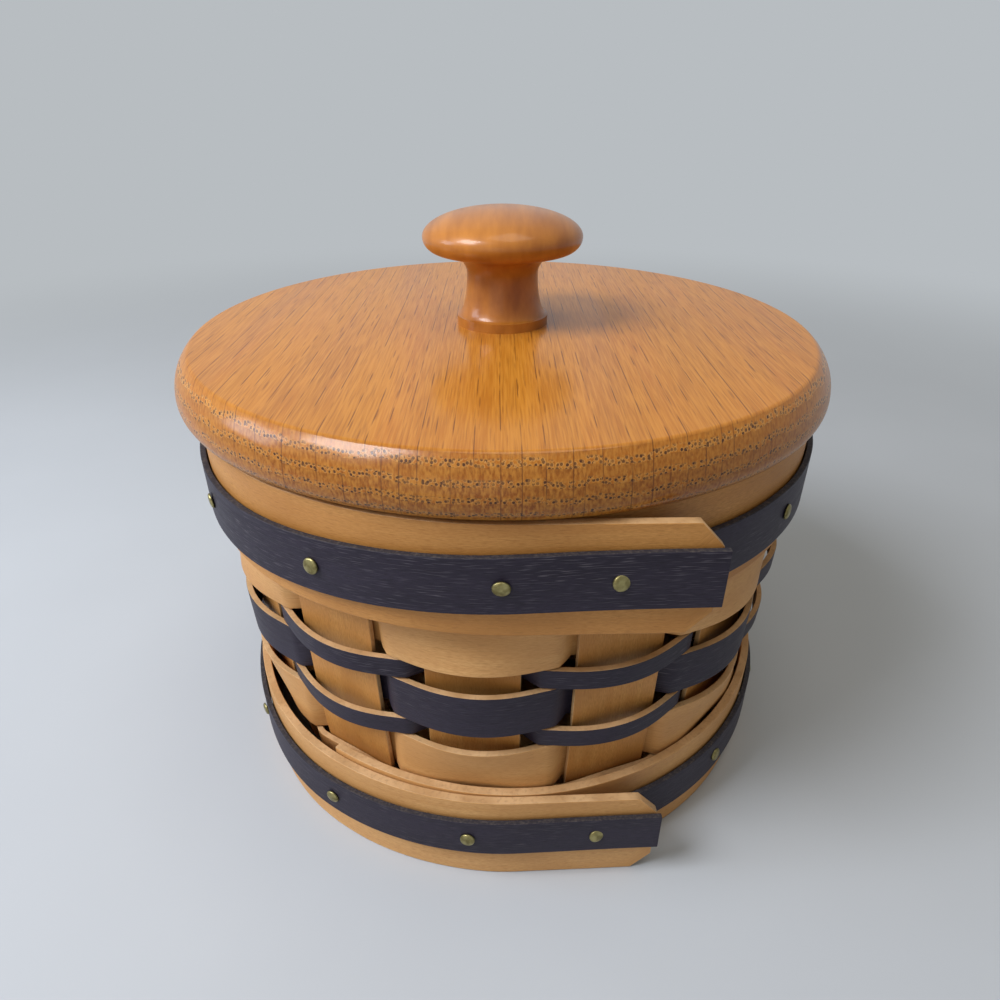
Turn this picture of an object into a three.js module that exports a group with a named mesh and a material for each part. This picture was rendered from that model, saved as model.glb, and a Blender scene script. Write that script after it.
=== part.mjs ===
// A round basket woven of wood splint, with a turned oak lid that lifts off.
// Millimetres, +Z up. The origin is on the floor under the middle of the basket.
// The front, where the two bands end, faces -Y. Azimuth 0 is the front and grows towards +X.
import * as THREE from "three";

// Gaps between pieces that touch
const CLEARANCE = 0.3;
const ROW_GAP = 0.4;

// Uprights: each splint runs up one wall, under the basket and up the other wall
const SPLINT_COUNT = 7;
const SPLINT_WIDTH = 20;
const SPLINT_THICKNESS = 1.2;
const SPLINT_WAIST = 7;
const SPLINT_WAIST_MARGIN = 2;
const FIRST_UPRIGHT_AZIMUTH = -6;

// Wall, measured at the middle of the uprights
const RIM_TOP = 98.9;
const BASE_HEIGHT = 8;
const BASE_BEND_RADIUS = 6;
const FOOT_WALL_RADIUS = 66.7;
const RIM_WALL_RADIUS = 68.9;
const WALL_BELLY = 1.4;
const UPRIGHT_TOP_DROP = 0.5;

// Weavers: the rows that go over and under the uprights
const WEAVER_THICKNESS = 1.4;
const WEAVER_BOW = 2.6;
const CROSSING_MARGIN = 0.6;
const CROSSING_REACH = 0.6;
const FOOT_ROW_WIDTH = 8.4;
const NATURAL_ROW_WIDTH = 14.7;
const NARROW_NAVY_ROW_WIDTH = 5.1;
const WIDE_NAVY_ROW_WIDTH = 11.6;

// Weavers under the basket
const BASE_WEAVER_COUNT = 4;
const BASE_WEAVER_WIDTH = 6.8;
const BASE_WEAVER_GAP = 0.5;

// Rim and foot bands, with the narrow trim strip tacked along each
const BAND_THICKNESS = 2;
const INNER_BAND_THICKNESS = 1.5;
const RIM_BAND_WIDTH = 24;
const FOOT_BAND_WIDTH = 25;
const TRIM_THICKNESS = 1.3;
const RIM_TRIM_WIDTH = 12.1;
const RIM_TRIM_LOW_MARGIN = 3.9;
const RIM_TRIM_CLIMB = 3.2;
const FOOT_TRIM_WIDTH = 10.6;
const FOOT_TRIM_LOW_MARGIN = 8.2;
const FOOT_TRIM_CLIMB = 1.6;
const TRIM_CLIMB_ANGLE = 80;
const BAND_START_AZIMUTH = -34;
const BAND_STEP_OUT_ANGLE = 42;
const TRIM_START_AZIMUTH = 20;
const BAND_CORNER_CLIP_LENGTH = 4.5;
const BAND_CORNER_CLIP_HEIGHT = 5;
const RIM_BAND_LIFT_AZIMUTH = 1.5;
const RIM_BAND_END_AZIMUTH = 26.1;
const FOOT_BAND_LIFT_AZIMUTH = 2.6;
const FOOT_BAND_END_AZIMUTH = 25;
const FOOT_BAND_START_RISE = 1.2;
const FOOT_BAND_START_RISE_ANGLE = 45;

// Tacks
const TACK_HEAD_DIAMETER = 3.4;
const TACK_HEAD_HEIGHT = 0.8;
const TACK_HEAD_EDGE = 0.25;
const TACK_SEAT_GAP = 0.1;
const RIM_FRONT_TACKS = [-27.5, -1, 14];
const RIM_BACK_TACK_COUNT = 10;
const RIM_BACK_TACK_FIRST = 50;
const RIM_BACK_TACK_LAST = 305;
const FOOT_FRONT_TACKS = [-6.7, 15];
const FOOT_BACK_TACK_COUNT = 11;
const FOOT_BACK_TACK_FIRST = 46;
const FOOT_BACK_TACK_LAST = 327;

// Lid board
const LID_SEAT_GAP = 0.3;
const LID_THICKNESS = 12.2;
const LID_TOP_RADIUS = 74;
const LID_EDGE_START_ANGLE = 38;
const LID_EDGE_RADIUS = 10.4;
const LID_UNDER_EDGE_WIDTH = 3.4;
const LID_PLUG_DEPTH = 5;
const LID_PLUG_CLEARANCE = 1.6;
const LID_PLUG_CHAMFER = 1;
const LID_REST_OFFSET_X = -1;
const LID_REST_OFFSET_Y = -0.6;

// Knob
const KNOB_HEIGHT = 27;
const KNOB_CAP_RADIUS = 19;
const KNOB_CAP_WIDEST_HEIGHT = 20.4;
const KNOB_CAP_LIP_HEIGHT = 16.9;
const KNOB_CAP_LIP_WIDTH = 4;
const KNOB_NECK_RADIUS = 8.6;
const KNOB_NECK_HEIGHT = 12;
const KNOB_FOOT_RADIUS = 11.2;
const KNOB_FOOT_LIP = 2.2;
const KNOB_BORE_SPARE = 2;

// Screw that holds the knob from under the lid
const SCREW_SHANK_RADIUS = 2.1;
const SCREW_HEAD_RADIUS = 4.2;
const SCREW_HEAD_DEPTH = 2.6;
const SCREW_TIP_LENGTH = 4;
const SCREW_LENGTH = 30;

// Fineness of the round surfaces
const LID_SEGMENTS = 48;
const KNOB_SEGMENTS = 32;
const RING_SEGMENTS = 48;
const SCREW_SEGMENTS = 12;
const TACK_SEGMENTS = 8;
const BAND_STEP_ANGLE = 7.5;
const SPLINT_WALL_STEPS = 7;
const SPLINT_BEND_STEPS = 4;
const LID_ARC_STEPS = 5;
const KNOB_ARC_STEPS = 4;
const KNOB_LIP_STEPS = 3;
const KNOB_DOME_STEPS = 8;
const TACK_DOME_STEPS = 2;

const PITCH = 180 / SPLINT_COUNT;
const WALL_FOOT = BASE_HEIGHT + BASE_BEND_RADIUS;
const FLAT_BASE_RADIUS = FOOT_WALL_RADIUS - BASE_BEND_RADIUS;
const BASE_WEAVER_PITCH = BASE_WEAVER_WIDTH + BASE_WEAVER_GAP;
const OUTERMOST_BASE_WEAVER_RADIUS = FLAT_BASE_RADIUS - CLEARANCE - BASE_WEAVER_WIDTH / 2;
const INNERMOST_BASE_WEAVER_RADIUS =
  OUTERMOST_BASE_WEAVER_RADIUS - BASE_WEAVER_PITCH * (BASE_WEAVER_COUNT - 1);
const WEAVE_OFFSET = (SPLINT_THICKNESS + WEAVER_THICKNESS) / 2 + CLEARANCE;

const oakFinish = { color: 0xb8692a, roughness: 0.3, metalness: 0 };
const naturalFinish = { color: 0xc49a6c, roughness: 0.6, metalness: 0 };
const navyFinish = { color: 0x34344a, roughness: 0.5, metalness: 0 };
const tackFinish = { color: 0xa8a070, roughness: 0.4, metalness: 0.9 };
const steelFinish = { color: 0x9a9a98, roughness: 0.35, metalness: 1 };

const basket = new THREE.Group();
const lid = new THREE.Group();

const radians = THREE.MathUtils.degToRad;
const smoothstep = THREE.MathUtils.smoothstep;

function addPiece(group, name, geometry, finish) {
  const mesh = new THREE.Mesh(geometry, new THREE.MeshStandardMaterial(finish));
  mesh.name = name;
  group.add(mesh);
  return mesh;
}

// Middle of an upright at a height, with a slight belly between the bands
function wallRadius(height) {
  const rise = (height - WALL_FOOT) / (RIM_TOP - WALL_FOOT);
  const taper = THREE.MathUtils.lerp(FOOT_WALL_RADIUS, RIM_WALL_RADIUS, rise);
  return taper + 4 * WALL_BELLY * rise * (1 - rise);
}

// A solid through a row of four-cornered sections, either closed into a ring or capped at both ends.
function loft(sections, closed) {
  const positions = sections.flat(2);
  const triangles = [];
  const spans = closed ? sections.length : sections.length - 1;
  for (let span = 0; span < spans; span++) {
    const here = 4 * span;
    const next = 4 * ((span + 1) % sections.length);
    for (let corner = 0; corner < 4; corner++) {
      const beside = (corner + 1) % 4;
      triangles.push(here + corner, next + corner, next + beside);
      triangles.push(here + corner, next + beside, here + beside);
    }
  }
  if (!closed) {
    const last = positions.length / 3 - 4;
    triangles.push(0, 1, 2, 0, 2, 3);
    triangles.push(last, last + 2, last + 1, last, last + 3, last + 2);
  }
  const geometry = new THREE.BufferGeometry();
  geometry.setAttribute("position", new THREE.Float32BufferAttribute(positions, 3));
  geometry.setIndex(triangles);
  return geometry;
}

function polar(azimuth, radius, height) {
  const angle = radians(azimuth);
  return [radius * Math.sin(angle), -radius * Math.cos(angle), height];
}

// Section of a standing strip: its lower and upper edge each have an inner radius and a height.
function standingSection(azimuth, low, high, thickness) {
  return [
    polar(azimuth, low.radius, low.height),
    polar(azimuth, low.radius + thickness, low.height),
    polar(azimuth, high.radius + thickness, high.height),
    polar(azimuth, high.radius, high.height),
  ];
}

// Splints: a long strip in an upright plane, waisted where all of them cross under the basket
function splintWidth(distance) {
  const fanned = (SPLINT_WIDTH * distance) / FOOT_WALL_RADIUS;
  return Math.max(SPLINT_WAIST, Math.min(SPLINT_WIDTH, fanned));
}

function splintPath(layerHeight) {
  const crossing = SPLINT_WAIST / (2 * Math.tan(radians(PITCH / 2)));
  const half = [];
  const uprightTop = RIM_TOP - UPRIGHT_TOP_DROP;
  for (let step = 0; step < SPLINT_WALL_STEPS; step++) {
    const height = THREE.MathUtils.lerp(uprightTop, WALL_FOOT, step / SPLINT_WALL_STEPS);
    half.push(new THREE.Vector2(wallRadius(height), height));
  }
  for (let step = 0; step <= SPLINT_BEND_STEPS; step++) {
    const turn = radians((90 * step) / SPLINT_BEND_STEPS);
    const out = FLAT_BASE_RADIUS + BASE_BEND_RADIUS * Math.cos(turn);
    half.push(new THREE.Vector2(out, WALL_FOOT - BASE_BEND_RADIUS * Math.sin(turn)));
  }
  const rampFoot = INNERMOST_BASE_WEAVER_RADIUS - BASE_WEAVER_WIDTH / 2 - CLEARANCE;
  const rampTop = crossing + SPLINT_WAIST_MARGIN;
  for (let step = 0; step <= SPLINT_BEND_STEPS; step++) {
    const share = step / SPLINT_BEND_STEPS;
    const out = THREE.MathUtils.lerp(rampFoot, rampTop, share);
    const height = THREE.MathUtils.lerp(BASE_HEIGHT, layerHeight, smoothstep(share, 0, 1));
    half.push(new THREE.Vector2(out, height));
  }
  const mirrored = half.map((point) => new THREE.Vector2(-point.x, point.y)).reverse();
  return [...half, ...mirrored];
}

function splintGeometry(azimuth, layerHeight) {
  const path = splintPath(layerHeight);
  const outward = new THREE.Vector3(...polar(azimuth, 1, 0));
  const sideways = new THREE.Vector3(...polar(azimuth + 90, 1, 0));
  const sections = path.map((point, index) => {
    const before = path[Math.max(index - 1, 0)];
    const after = path[Math.min(index + 1, path.length - 1)];
    const along = after.clone().sub(before).normalize();
    const halfThickness = SPLINT_THICKNESS / 2;
    const halfWidth = splintWidth(Math.abs(point.x)) / 2;
    const corner = (side, face) => {
      const out = point.x - face * halfThickness * along.y;
      const up = point.y + face * halfThickness * along.x;
      const place = outward.clone().multiplyScalar(out);
      place.addScaledVector(sideways, side * halfWidth);
      return [place.x, place.y, up];
    };
    return [corner(-1, -1), corner(-1, 1), corner(1, 1), corner(1, -1)];
  });
  return loft(sections, false);
}

for (let index = 0; index < SPLINT_COUNT; index++) {
  const azimuth = FIRST_UPRIGHT_AZIMUTH + PITCH * index;
  const layerStep = SPLINT_THICKNESS + CLEARANCE;
  const layerHeight = BASE_HEIGHT + layerStep * (index - (SPLINT_COUNT - 1) / 2);
  addPiece(basket, `splint_${index + 1}`, splintGeometry(azimuth, layerHeight), naturalFinish);
}

// Half the angle over which a weaver lies flat along one upright
function flatHalfAngle(radius) {
  const halfWidth = splintWidth(radius) / 2 + CROSSING_MARGIN;
  return THREE.MathUtils.radToDeg(Math.atan(halfWidth / radius));
}

// Which side of an upright a row passes: 1 outside, -1 inside
function passSide(row, upright) {
  return (upright % 2 === 0) === row.outsideAtFront ? 1 : -1;
}

// Where a pass has its sections, counted in half widths of the upright. A pass outside an upright
// reaches over most of the gap beside it, and the strip then dives behind the next upright.
function passShares(row, side, half) {
  const shares = row.lapped ? [-1, -0.5, 0, 0.5, 1] : [-1, 0, 1];
  const reach = 1 + CROSSING_REACH * (PITCH / half - 2);
  return side > 0 && row.lapped ? [-reach, ...shares, reach] : shares;
}

// Wall weavers: each row is a loop of its own, and the next row takes the other side of every upright.
// The two ends of a row lap behind one upright at the back, so that no end shows from outside.
function wallWeaverGeometry(row) {
  const middle = (row.low + row.high) / 2;
  const half = flatHalfAngle(wallRadius(middle));
  const uprights = 2 * SPLINT_COUNT;
  const first = passSide(row, SPLINT_COUNT) < 0 ? SPLINT_COUNT : SPLINT_COUNT + 1;
  const sections = [];
  const count = row.lapped ? uprights + 1 : uprights;
  for (let index = 0; index < count; index++) {
    const upright = first + index;
    const side = passSide(row, upright);
    const lap = index === uprights ? WEAVER_THICKNESS + CLEARANCE : 0;
    for (const share of passShares(row, side, half)) {
      const azimuth = FIRST_UPRIGHT_AZIMUTH + PITCH * upright + share * half;
      const onUpright = Math.min(Math.abs(share), 1);
      const edge = (height, bow) => {
        const turn = radians(onUpright * half);
        const flat = (wallRadius(height) + side * WEAVE_OFFSET) / Math.cos(turn);
        const bowed = side * bow * (1 - onUpright * onUpright);
        return { radius: flat + bowed - lap - WEAVER_THICKNESS / 2, height };
      };
      const low = edge(row.low, row.lowBow);
      const high = edge(row.high, row.highBow);
      sections.push(standingSection(azimuth, low, high, WEAVER_THICKNESS));
    }
  }
  return loft(sections, !row.lapped);
}

// A free edge bows out over each upright; an edge under a band is held flat.
const bothBowed = { lowBow: WEAVER_BOW, highBow: WEAVER_BOW };
const topBowed = { lowBow: 0, highBow: WEAVER_BOW };
const bottomBowed = { lowBow: WEAVER_BOW, highBow: 0 };
const hidden = { lowBow: 0, highBow: 0, hidden: true };
const rowPlan = [
  { name: "weaver_1_foot", width: FOOT_ROW_WIDTH, finish: naturalFinish, ...hidden },
  { name: "weaver_2_natural", width: NATURAL_ROW_WIDTH, finish: naturalFinish, ...topBowed },
  { name: "weaver_3_navy_narrow", width: NARROW_NAVY_ROW_WIDTH, finish: navyFinish, ...bothBowed },
  { name: "weaver_4_navy_wide", width: WIDE_NAVY_ROW_WIDTH, finish: navyFinish, ...bothBowed },
  { name: "weaver_5_navy_narrow", width: NARROW_NAVY_ROW_WIDTH, finish: navyFinish, ...bothBowed },
  { name: "weaver_6_natural", width: NATURAL_ROW_WIDTH, finish: naturalFinish, ...bottomBowed },
  { name: "weaver_7_rim", finish: naturalFinish, ...hidden },
];
let rowLow = WALL_FOOT + CLEARANCE;
let rimRowLow = rowLow;
rowPlan.forEach((plan, index) => {
  const rowHigh = plan.width ? rowLow + plan.width : RIM_TOP - UPRIGHT_TOP_DROP;
  const row = {
    low: rowLow,
    high: rowHigh,
    lowBow: plan.lowBow,
    highBow: plan.highBow,
    outsideAtFront: index % 2 === 1,
    lapped: !plan.hidden,
  };
  addPiece(basket, plan.name, wallWeaverGeometry(row), plan.finish);
  rimRowLow = rowLow;
  rowLow = rowHigh + ROW_GAP;
});

// Base weavers: flat rings that go over and under the splints beneath the basket
function baseWeaverGeometry(radius, startsAbove) {
  const half = flatHalfAngle(radius);
  const sections = [];
  for (let upright = 0; upright < 2 * SPLINT_COUNT; upright++) {
    const side = (upright % 2 === 0) === startsAbove ? 1 : -1;
    const height = BASE_HEIGHT + side * WEAVE_OFFSET;
    for (const share of [-1, 0, 1]) {
      const azimuth = FIRST_UPRIGHT_AZIMUTH + PITCH * upright + share * half;
      const low = { radius: radius - BASE_WEAVER_WIDTH / 2, height: height - WEAVER_THICKNESS / 2 };
      const high = { radius: low.radius, height: low.height + WEAVER_THICKNESS };
      sections.push(standingSection(azimuth, low, high, BASE_WEAVER_WIDTH));
    }
  }
  return loft(sections, true);
}

for (let index = 0; index < BASE_WEAVER_COUNT; index++) {
  const radius = INNERMOST_BASE_WEAVER_RADIUS + BASE_WEAVER_PITCH * index;
  const geometry = baseWeaverGeometry(radius, index % 2 === 0);
  addPiece(basket, `base_weaver_${index + 1}`, geometry, naturalFinish);
}

// Inside of a band that is pulled tight over the weave at a height
function bandSeatRadius(height) {
  const flat = wallRadius(height) + WEAVE_OFFSET + WEAVER_THICKNESS / 2;
  return flat / Math.cos(radians(flatHalfAngle(wallRadius(height)))) + CLEARANCE;
}

const rimBand = {
  radius: bandSeatRadius(RIM_TOP - RIM_BAND_WIDTH),
  low: RIM_TOP - RIM_BAND_WIDTH,
  high: RIM_TOP,
  lift: RIM_BAND_LIFT_AZIMUTH,
  end: RIM_BAND_END_AZIMUTH,
  startRise: 0,
  trimLow: RIM_TOP - RIM_BAND_WIDTH + RIM_TRIM_LOW_MARGIN,
  trimWidth: RIM_TRIM_WIDTH,
  trimClimb: RIM_TRIM_CLIMB,
};
const footBand = {
  radius: bandSeatRadius(FOOT_BAND_WIDTH),
  low: 0,
  high: FOOT_BAND_WIDTH,
  lift: FOOT_BAND_LIFT_AZIMUTH,
  end: FOOT_BAND_END_AZIMUTH,
  startRise: FOOT_BAND_START_RISE,
  trimLow: FOOT_TRIM_LOW_MARGIN,
  trimWidth: FOOT_TRIM_WIDTH,
  trimClimb: FOOT_TRIM_CLIMB,
};

// How far the band has stepped out over its own start: 0 on the first turn, 1 on the lap
function lapShare(azimuth) {
  const lapStart = BAND_START_AZIMUTH + 360;
  return smoothstep(azimuth, lapStart - BAND_STEP_OUT_ANGLE, lapStart - 1);
}

// Past its lift the band springs straight off the basket, along the tangent.
function bandRadius(band, azimuth, offset) {
  const lap = lapShare(azimuth) * (BAND_THICKNESS + CLEARANCE);
  const past = Math.max(azimuth - 360 - band.lift, 0);
  return (band.radius + offset + lap) / Math.cos(radians(past));
}

function bandRise(band, azimuth) {
  const riseEnd = BAND_START_AZIMUTH + FOOT_BAND_START_RISE_ANGLE;
  return band.startRise * (1 - smoothstep(azimuth, BAND_START_AZIMUTH, riseEnd));
}

// The trim runs level round the basket and climbs a little towards its end.
function trimClimb(band, azimuth) {
  const climbEnd = band.end + 360;
  return band.trimClimb * smoothstep(azimuth, climbEnd - TRIM_CLIMB_ANGLE, climbEnd);
}

function bandAzimuths(start, stop, lift) {
  const azimuths = [];
  const steps = Math.ceil((lift - start) / BAND_STEP_ANGLE);
  for (let step = 0; step <= steps; step++) {
    azimuths.push(THREE.MathUtils.lerp(start, lift, step / steps));
  }
  azimuths.push((lift + stop) / 2, stop);
  return azimuths;
}

// One strip round the basket, with the corners of its free end cut off by the clip
function bandStripGeometry(band, strip, clip) {
  const section = (azimuth, cut) => {
    const inner = bandRadius(band, azimuth, strip.offset);
    const outer = bandRadius(band, azimuth, strip.offset + strip.thickness);
    const low = strip.low + bandRise(band, azimuth) + strip.climb(azimuth);
    const bottom = { radius: inner, height: low + cut };
    const top = { radius: inner, height: low + strip.width - cut };
    return standingSection(azimuth, bottom, top, outer - inner);
  };
  const lift = band.lift + 360;
  const stop = band.end + 360;
  const reach = Math.tan(radians(stop - lift)) - clip.length / bandRadius(band, lift, strip.offset);
  const clipStart = lift + THREE.MathUtils.radToDeg(Math.atan(reach));
  const azimuths = bandAzimuths(strip.start, clipStart, lift);
  const sections = azimuths.map((azimuth) => section(azimuth, 0));
  if (clip.length > 0) sections.push(section(stop, clip.height));
  return loft(sections, false);
}

function addBand(name, trimName, band) {
  const bandStrip = {
    start: BAND_START_AZIMUTH,
    offset: 0,
    thickness: BAND_THICKNESS,
    low: band.low,
    width: band.high - band.low,
    climb: () => 0,
  };
  const trimStrip = {
    start: TRIM_START_AZIMUTH,
    offset: BAND_THICKNESS + CLEARANCE,
    thickness: TRIM_THICKNESS,
    low: band.trimLow,
    width: band.trimWidth,
    climb: (azimuth) => trimClimb(band, azimuth),
  };
  const clippedEnd = { length: BAND_CORNER_CLIP_LENGTH, height: BAND_CORNER_CLIP_HEIGHT };
  const squareEnd = { length: 0, height: 0 };
  addPiece(basket, name, bandStripGeometry(band, bandStrip, clippedEnd), naturalFinish);
  addPiece(basket, trimName, bandStripGeometry(band, trimStrip, squareEnd), navyFinish);
}

addBand("rim_band", "rim_trim", rimBand);
addBand("foot_band", "foot_trim", footBand);

// Inner rim band: a plain hoop over the rim row, which clamps the uprights against the outer band
function ringGeometry(innerRadius, outerRadius, low, high) {
  const profile = [
    new THREE.Vector2(innerRadius, low),
    new THREE.Vector2(outerRadius, low),
    new THREE.Vector2(outerRadius, high),
    new THREE.Vector2(innerRadius, high),
    new THREE.Vector2(innerRadius, low),
  ];
  return new THREE.LatheGeometry(profile, RING_SEGMENTS).rotateX(Math.PI / 2);
}

const hoopFacet = Math.cos(Math.PI / RING_SEGMENTS);
const hoopOuter = RIM_WALL_RADIUS - WEAVE_OFFSET - WEAVER_THICKNESS / 2 - CLEARANCE;
const hoopInner = hoopOuter - INNER_BAND_THICKNESS;
const hoopGeometry = ringGeometry(hoopInner, hoopOuter, rimRowLow, RIM_TOP);
addPiece(basket, "rim_band_inner", hoopGeometry, naturalFinish);

// Tacks: a low domed head on the trim, square to the strip under it
function tackGeometry() {
  const profile = [new THREE.Vector2(0, 0), new THREE.Vector2(TACK_HEAD_DIAMETER / 2, 0)];
  for (let step = 0; step <= TACK_DOME_STEPS; step++) {
    const turn = radians((90 * step) / TACK_DOME_STEPS);
    const radius = step === TACK_DOME_STEPS ? 0 : (TACK_HEAD_DIAMETER / 2) * Math.cos(turn);
    const dome = (TACK_HEAD_HEIGHT - TACK_HEAD_EDGE) * Math.sin(turn);
    profile.push(new THREE.Vector2(radius, TACK_HEAD_EDGE + dome));
  }
  return new THREE.LatheGeometry(profile, TACK_SEGMENTS);
}

function addTacks(prefix, band, azimuths) {
  azimuths.forEach((azimuth, index) => {
    const onLap = azimuth < band.end ? azimuth + 360 : azimuth;
    const facing = Math.min(onLap, band.lift + 360);
    const surface = BAND_THICKNESS + TRIM_THICKNESS + CLEARANCE + TACK_SEAT_GAP;
    const trimMiddle = band.trimLow + band.trimWidth / 2;
    const height = trimMiddle + bandRise(band, onLap) + trimClimb(band, onLap);
    const number = String(index + 1).padStart(2, "0");
    const tack = addPiece(basket, `${prefix}_${number}`, tackGeometry(), tackFinish);
    tack.position.set(...polar(onLap, bandRadius(band, onLap, surface), height));
    tack.rotation.z = radians(facing + 180);
  });
}

function spread(count, first, last) {
  return Array.from({ length: count }, (_, index) =>
    THREE.MathUtils.lerp(first, last, index / (count - 1)),
  );
}

addTacks("rim_tack", rimBand, [
  ...RIM_FRONT_TACKS,
  ...spread(RIM_BACK_TACK_COUNT, RIM_BACK_TACK_FIRST, RIM_BACK_TACK_LAST),
]);
addTacks("foot_tack", footBand, [
  ...FOOT_FRONT_TACKS,
  ...spread(FOOT_BACK_TACK_COUNT, FOOT_BACK_TACK_FIRST, FOOT_BACK_TACK_LAST),
]);

// Lid board: a turned disc with a creased, rounded edge and a plug that drops into the mouth
function arcPoints(centre, width, height, fromDegrees, toDegrees, steps) {
  const points = [];
  for (let step = 0; step <= steps; step++) {
    const turn = radians(THREE.MathUtils.lerp(fromDegrees, toDegrees, step / steps));
    const x = centre.x + width * Math.cos(turn);
    points.push(new THREE.Vector2(x, centre.y + height * Math.sin(turn)));
  }
  return points;
}

const plugRadius = hoopInner * hoopFacet - LID_PLUG_CLEARANCE;
const screwHoleRadius = SCREW_SHANK_RADIUS + CLEARANCE;

function lidGeometry() {
  const startAngle = 90 - LID_EDGE_START_ANGLE;
  const edgeCentre = new THREE.Vector2(
    LID_TOP_RADIUS - LID_EDGE_RADIUS * Math.cos(radians(startAngle)),
    LID_THICKNESS - LID_EDGE_RADIUS * Math.sin(radians(startAngle)),
  );
  const widest = edgeCentre.x + LID_EDGE_RADIUS;
  const underCentre = new THREE.Vector2(widest - LID_UNDER_EDGE_WIDTH, edgeCentre.y);
  const headRadius = SCREW_HEAD_RADIUS + CLEARANCE;
  const profile = [
    new THREE.Vector2(screwHoleRadius, SCREW_HEAD_DEPTH - LID_PLUG_DEPTH),
    new THREE.Vector2(headRadius, -LID_PLUG_DEPTH),
    new THREE.Vector2(plugRadius - LID_PLUG_CHAMFER, -LID_PLUG_DEPTH),
    new THREE.Vector2(plugRadius, LID_PLUG_CHAMFER - LID_PLUG_DEPTH),
    new THREE.Vector2(plugRadius, 0),
    ...arcPoints(underCentre, LID_UNDER_EDGE_WIDTH, edgeCentre.y, -90, 0, LID_ARC_STEPS),
    ...arcPoints(edgeCentre, LID_EDGE_RADIUS, LID_EDGE_RADIUS, 0, startAngle, LID_ARC_STEPS).slice(1),
    new THREE.Vector2(screwHoleRadius, LID_THICKNESS),
    new THREE.Vector2(screwHoleRadius, SCREW_HEAD_DEPTH - LID_PLUG_DEPTH),
  ];
  return new THREE.LatheGeometry(profile, LID_SEGMENTS).rotateX(Math.PI / 2);
}

// Knob: a mushroom cap on a waisted neck, bored from below for its screw
function knobGeometry() {
  const boreDepth = SCREW_LENGTH - LID_THICKNESS - LID_PLUG_DEPTH + KNOB_BORE_SPARE;
  const footCentre = new THREE.Vector2(KNOB_FOOT_RADIUS, KNOB_NECK_HEIGHT);
  const footWidth = KNOB_FOOT_RADIUS - KNOB_NECK_RADIUS;
  const footHeight = KNOB_NECK_HEIGHT - KNOB_FOOT_LIP;
  const throatCentre = new THREE.Vector2(KNOB_CAP_RADIUS - KNOB_CAP_LIP_WIDTH, KNOB_NECK_HEIGHT);
  const throatWidth = throatCentre.x - KNOB_NECK_RADIUS;
  const throatHeight = KNOB_CAP_LIP_HEIGHT - KNOB_NECK_HEIGHT;
  const lipCentre = new THREE.Vector2(throatCentre.x, KNOB_CAP_WIDEST_HEIGHT);
  const lipHeight = KNOB_CAP_WIDEST_HEIGHT - KNOB_CAP_LIP_HEIGHT;
  const domeCentre = new THREE.Vector2(0, KNOB_CAP_WIDEST_HEIGHT);
  const domeHeight = KNOB_HEIGHT - KNOB_CAP_WIDEST_HEIGHT;
  const dome = arcPoints(domeCentre, KNOB_CAP_RADIUS, domeHeight, 0, 90, KNOB_DOME_STEPS);
  const profile = [
    new THREE.Vector2(0, boreDepth),
    new THREE.Vector2(screwHoleRadius, boreDepth),
    new THREE.Vector2(screwHoleRadius, 0),
    new THREE.Vector2(KNOB_FOOT_RADIUS, 0),
    ...arcPoints(footCentre, footWidth, footHeight, 270, 180, KNOB_ARC_STEPS),
    ...arcPoints(throatCentre, throatWidth, throatHeight, 180, 90, KNOB_ARC_STEPS).slice(1),
    ...arcPoints(lipCentre, KNOB_CAP_LIP_WIDTH, lipHeight, -90, 0, KNOB_LIP_STEPS).slice(1),
    ...dome.slice(1, -1),
    new THREE.Vector2(0, KNOB_HEIGHT),
  ];
  return new THREE.LatheGeometry(profile, KNOB_SEGMENTS).rotateX(Math.PI / 2);
}

// Screw: a countersunk head flush under the plug, with a plain shank and a point
function screwGeometry() {
  const profile = [
    new THREE.Vector2(0, 0),
    new THREE.Vector2(SCREW_HEAD_RADIUS, 0),
    new THREE.Vector2(SCREW_SHANK_RADIUS, SCREW_HEAD_DEPTH),
    new THREE.Vector2(SCREW_SHANK_RADIUS, SCREW_LENGTH - SCREW_TIP_LENGTH),
    new THREE.Vector2(0, SCREW_LENGTH),
  ];
  return new THREE.LatheGeometry(profile, SCREW_SEGMENTS).rotateX(Math.PI / 2);
}

addPiece(lid, "lid_board", lidGeometry(), oakFinish);
const knob = addPiece(lid, "lid_knob", knobGeometry(), oakFinish);
knob.position.z = LID_THICKNESS;
const screw = addPiece(lid, "knob_screw", screwGeometry(), steelFinish);
screw.position.z = CLEARANCE - LID_PLUG_DEPTH;
lid.position.set(LID_REST_OFFSET_X, LID_REST_OFFSET_Y, RIM_TOP + LID_SEAT_GAP);

const model = new THREE.Group();
model.add(basket, lid);
export default model;
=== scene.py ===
import math

import bmesh
import bpy
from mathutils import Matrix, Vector


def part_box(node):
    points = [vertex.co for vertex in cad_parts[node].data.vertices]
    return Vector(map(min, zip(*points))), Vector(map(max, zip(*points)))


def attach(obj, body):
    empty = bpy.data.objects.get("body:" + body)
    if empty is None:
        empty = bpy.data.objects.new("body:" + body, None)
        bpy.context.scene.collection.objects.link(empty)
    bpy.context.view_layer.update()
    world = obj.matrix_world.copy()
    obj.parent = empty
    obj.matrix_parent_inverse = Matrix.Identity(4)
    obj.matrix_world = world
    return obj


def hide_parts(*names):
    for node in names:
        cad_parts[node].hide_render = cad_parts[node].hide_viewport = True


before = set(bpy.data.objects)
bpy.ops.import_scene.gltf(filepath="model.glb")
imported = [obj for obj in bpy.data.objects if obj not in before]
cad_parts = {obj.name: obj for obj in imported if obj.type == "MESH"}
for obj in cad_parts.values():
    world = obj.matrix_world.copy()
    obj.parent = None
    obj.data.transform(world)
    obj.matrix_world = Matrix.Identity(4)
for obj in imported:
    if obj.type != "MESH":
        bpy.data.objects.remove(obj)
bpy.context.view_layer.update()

MM = 0.001

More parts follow.
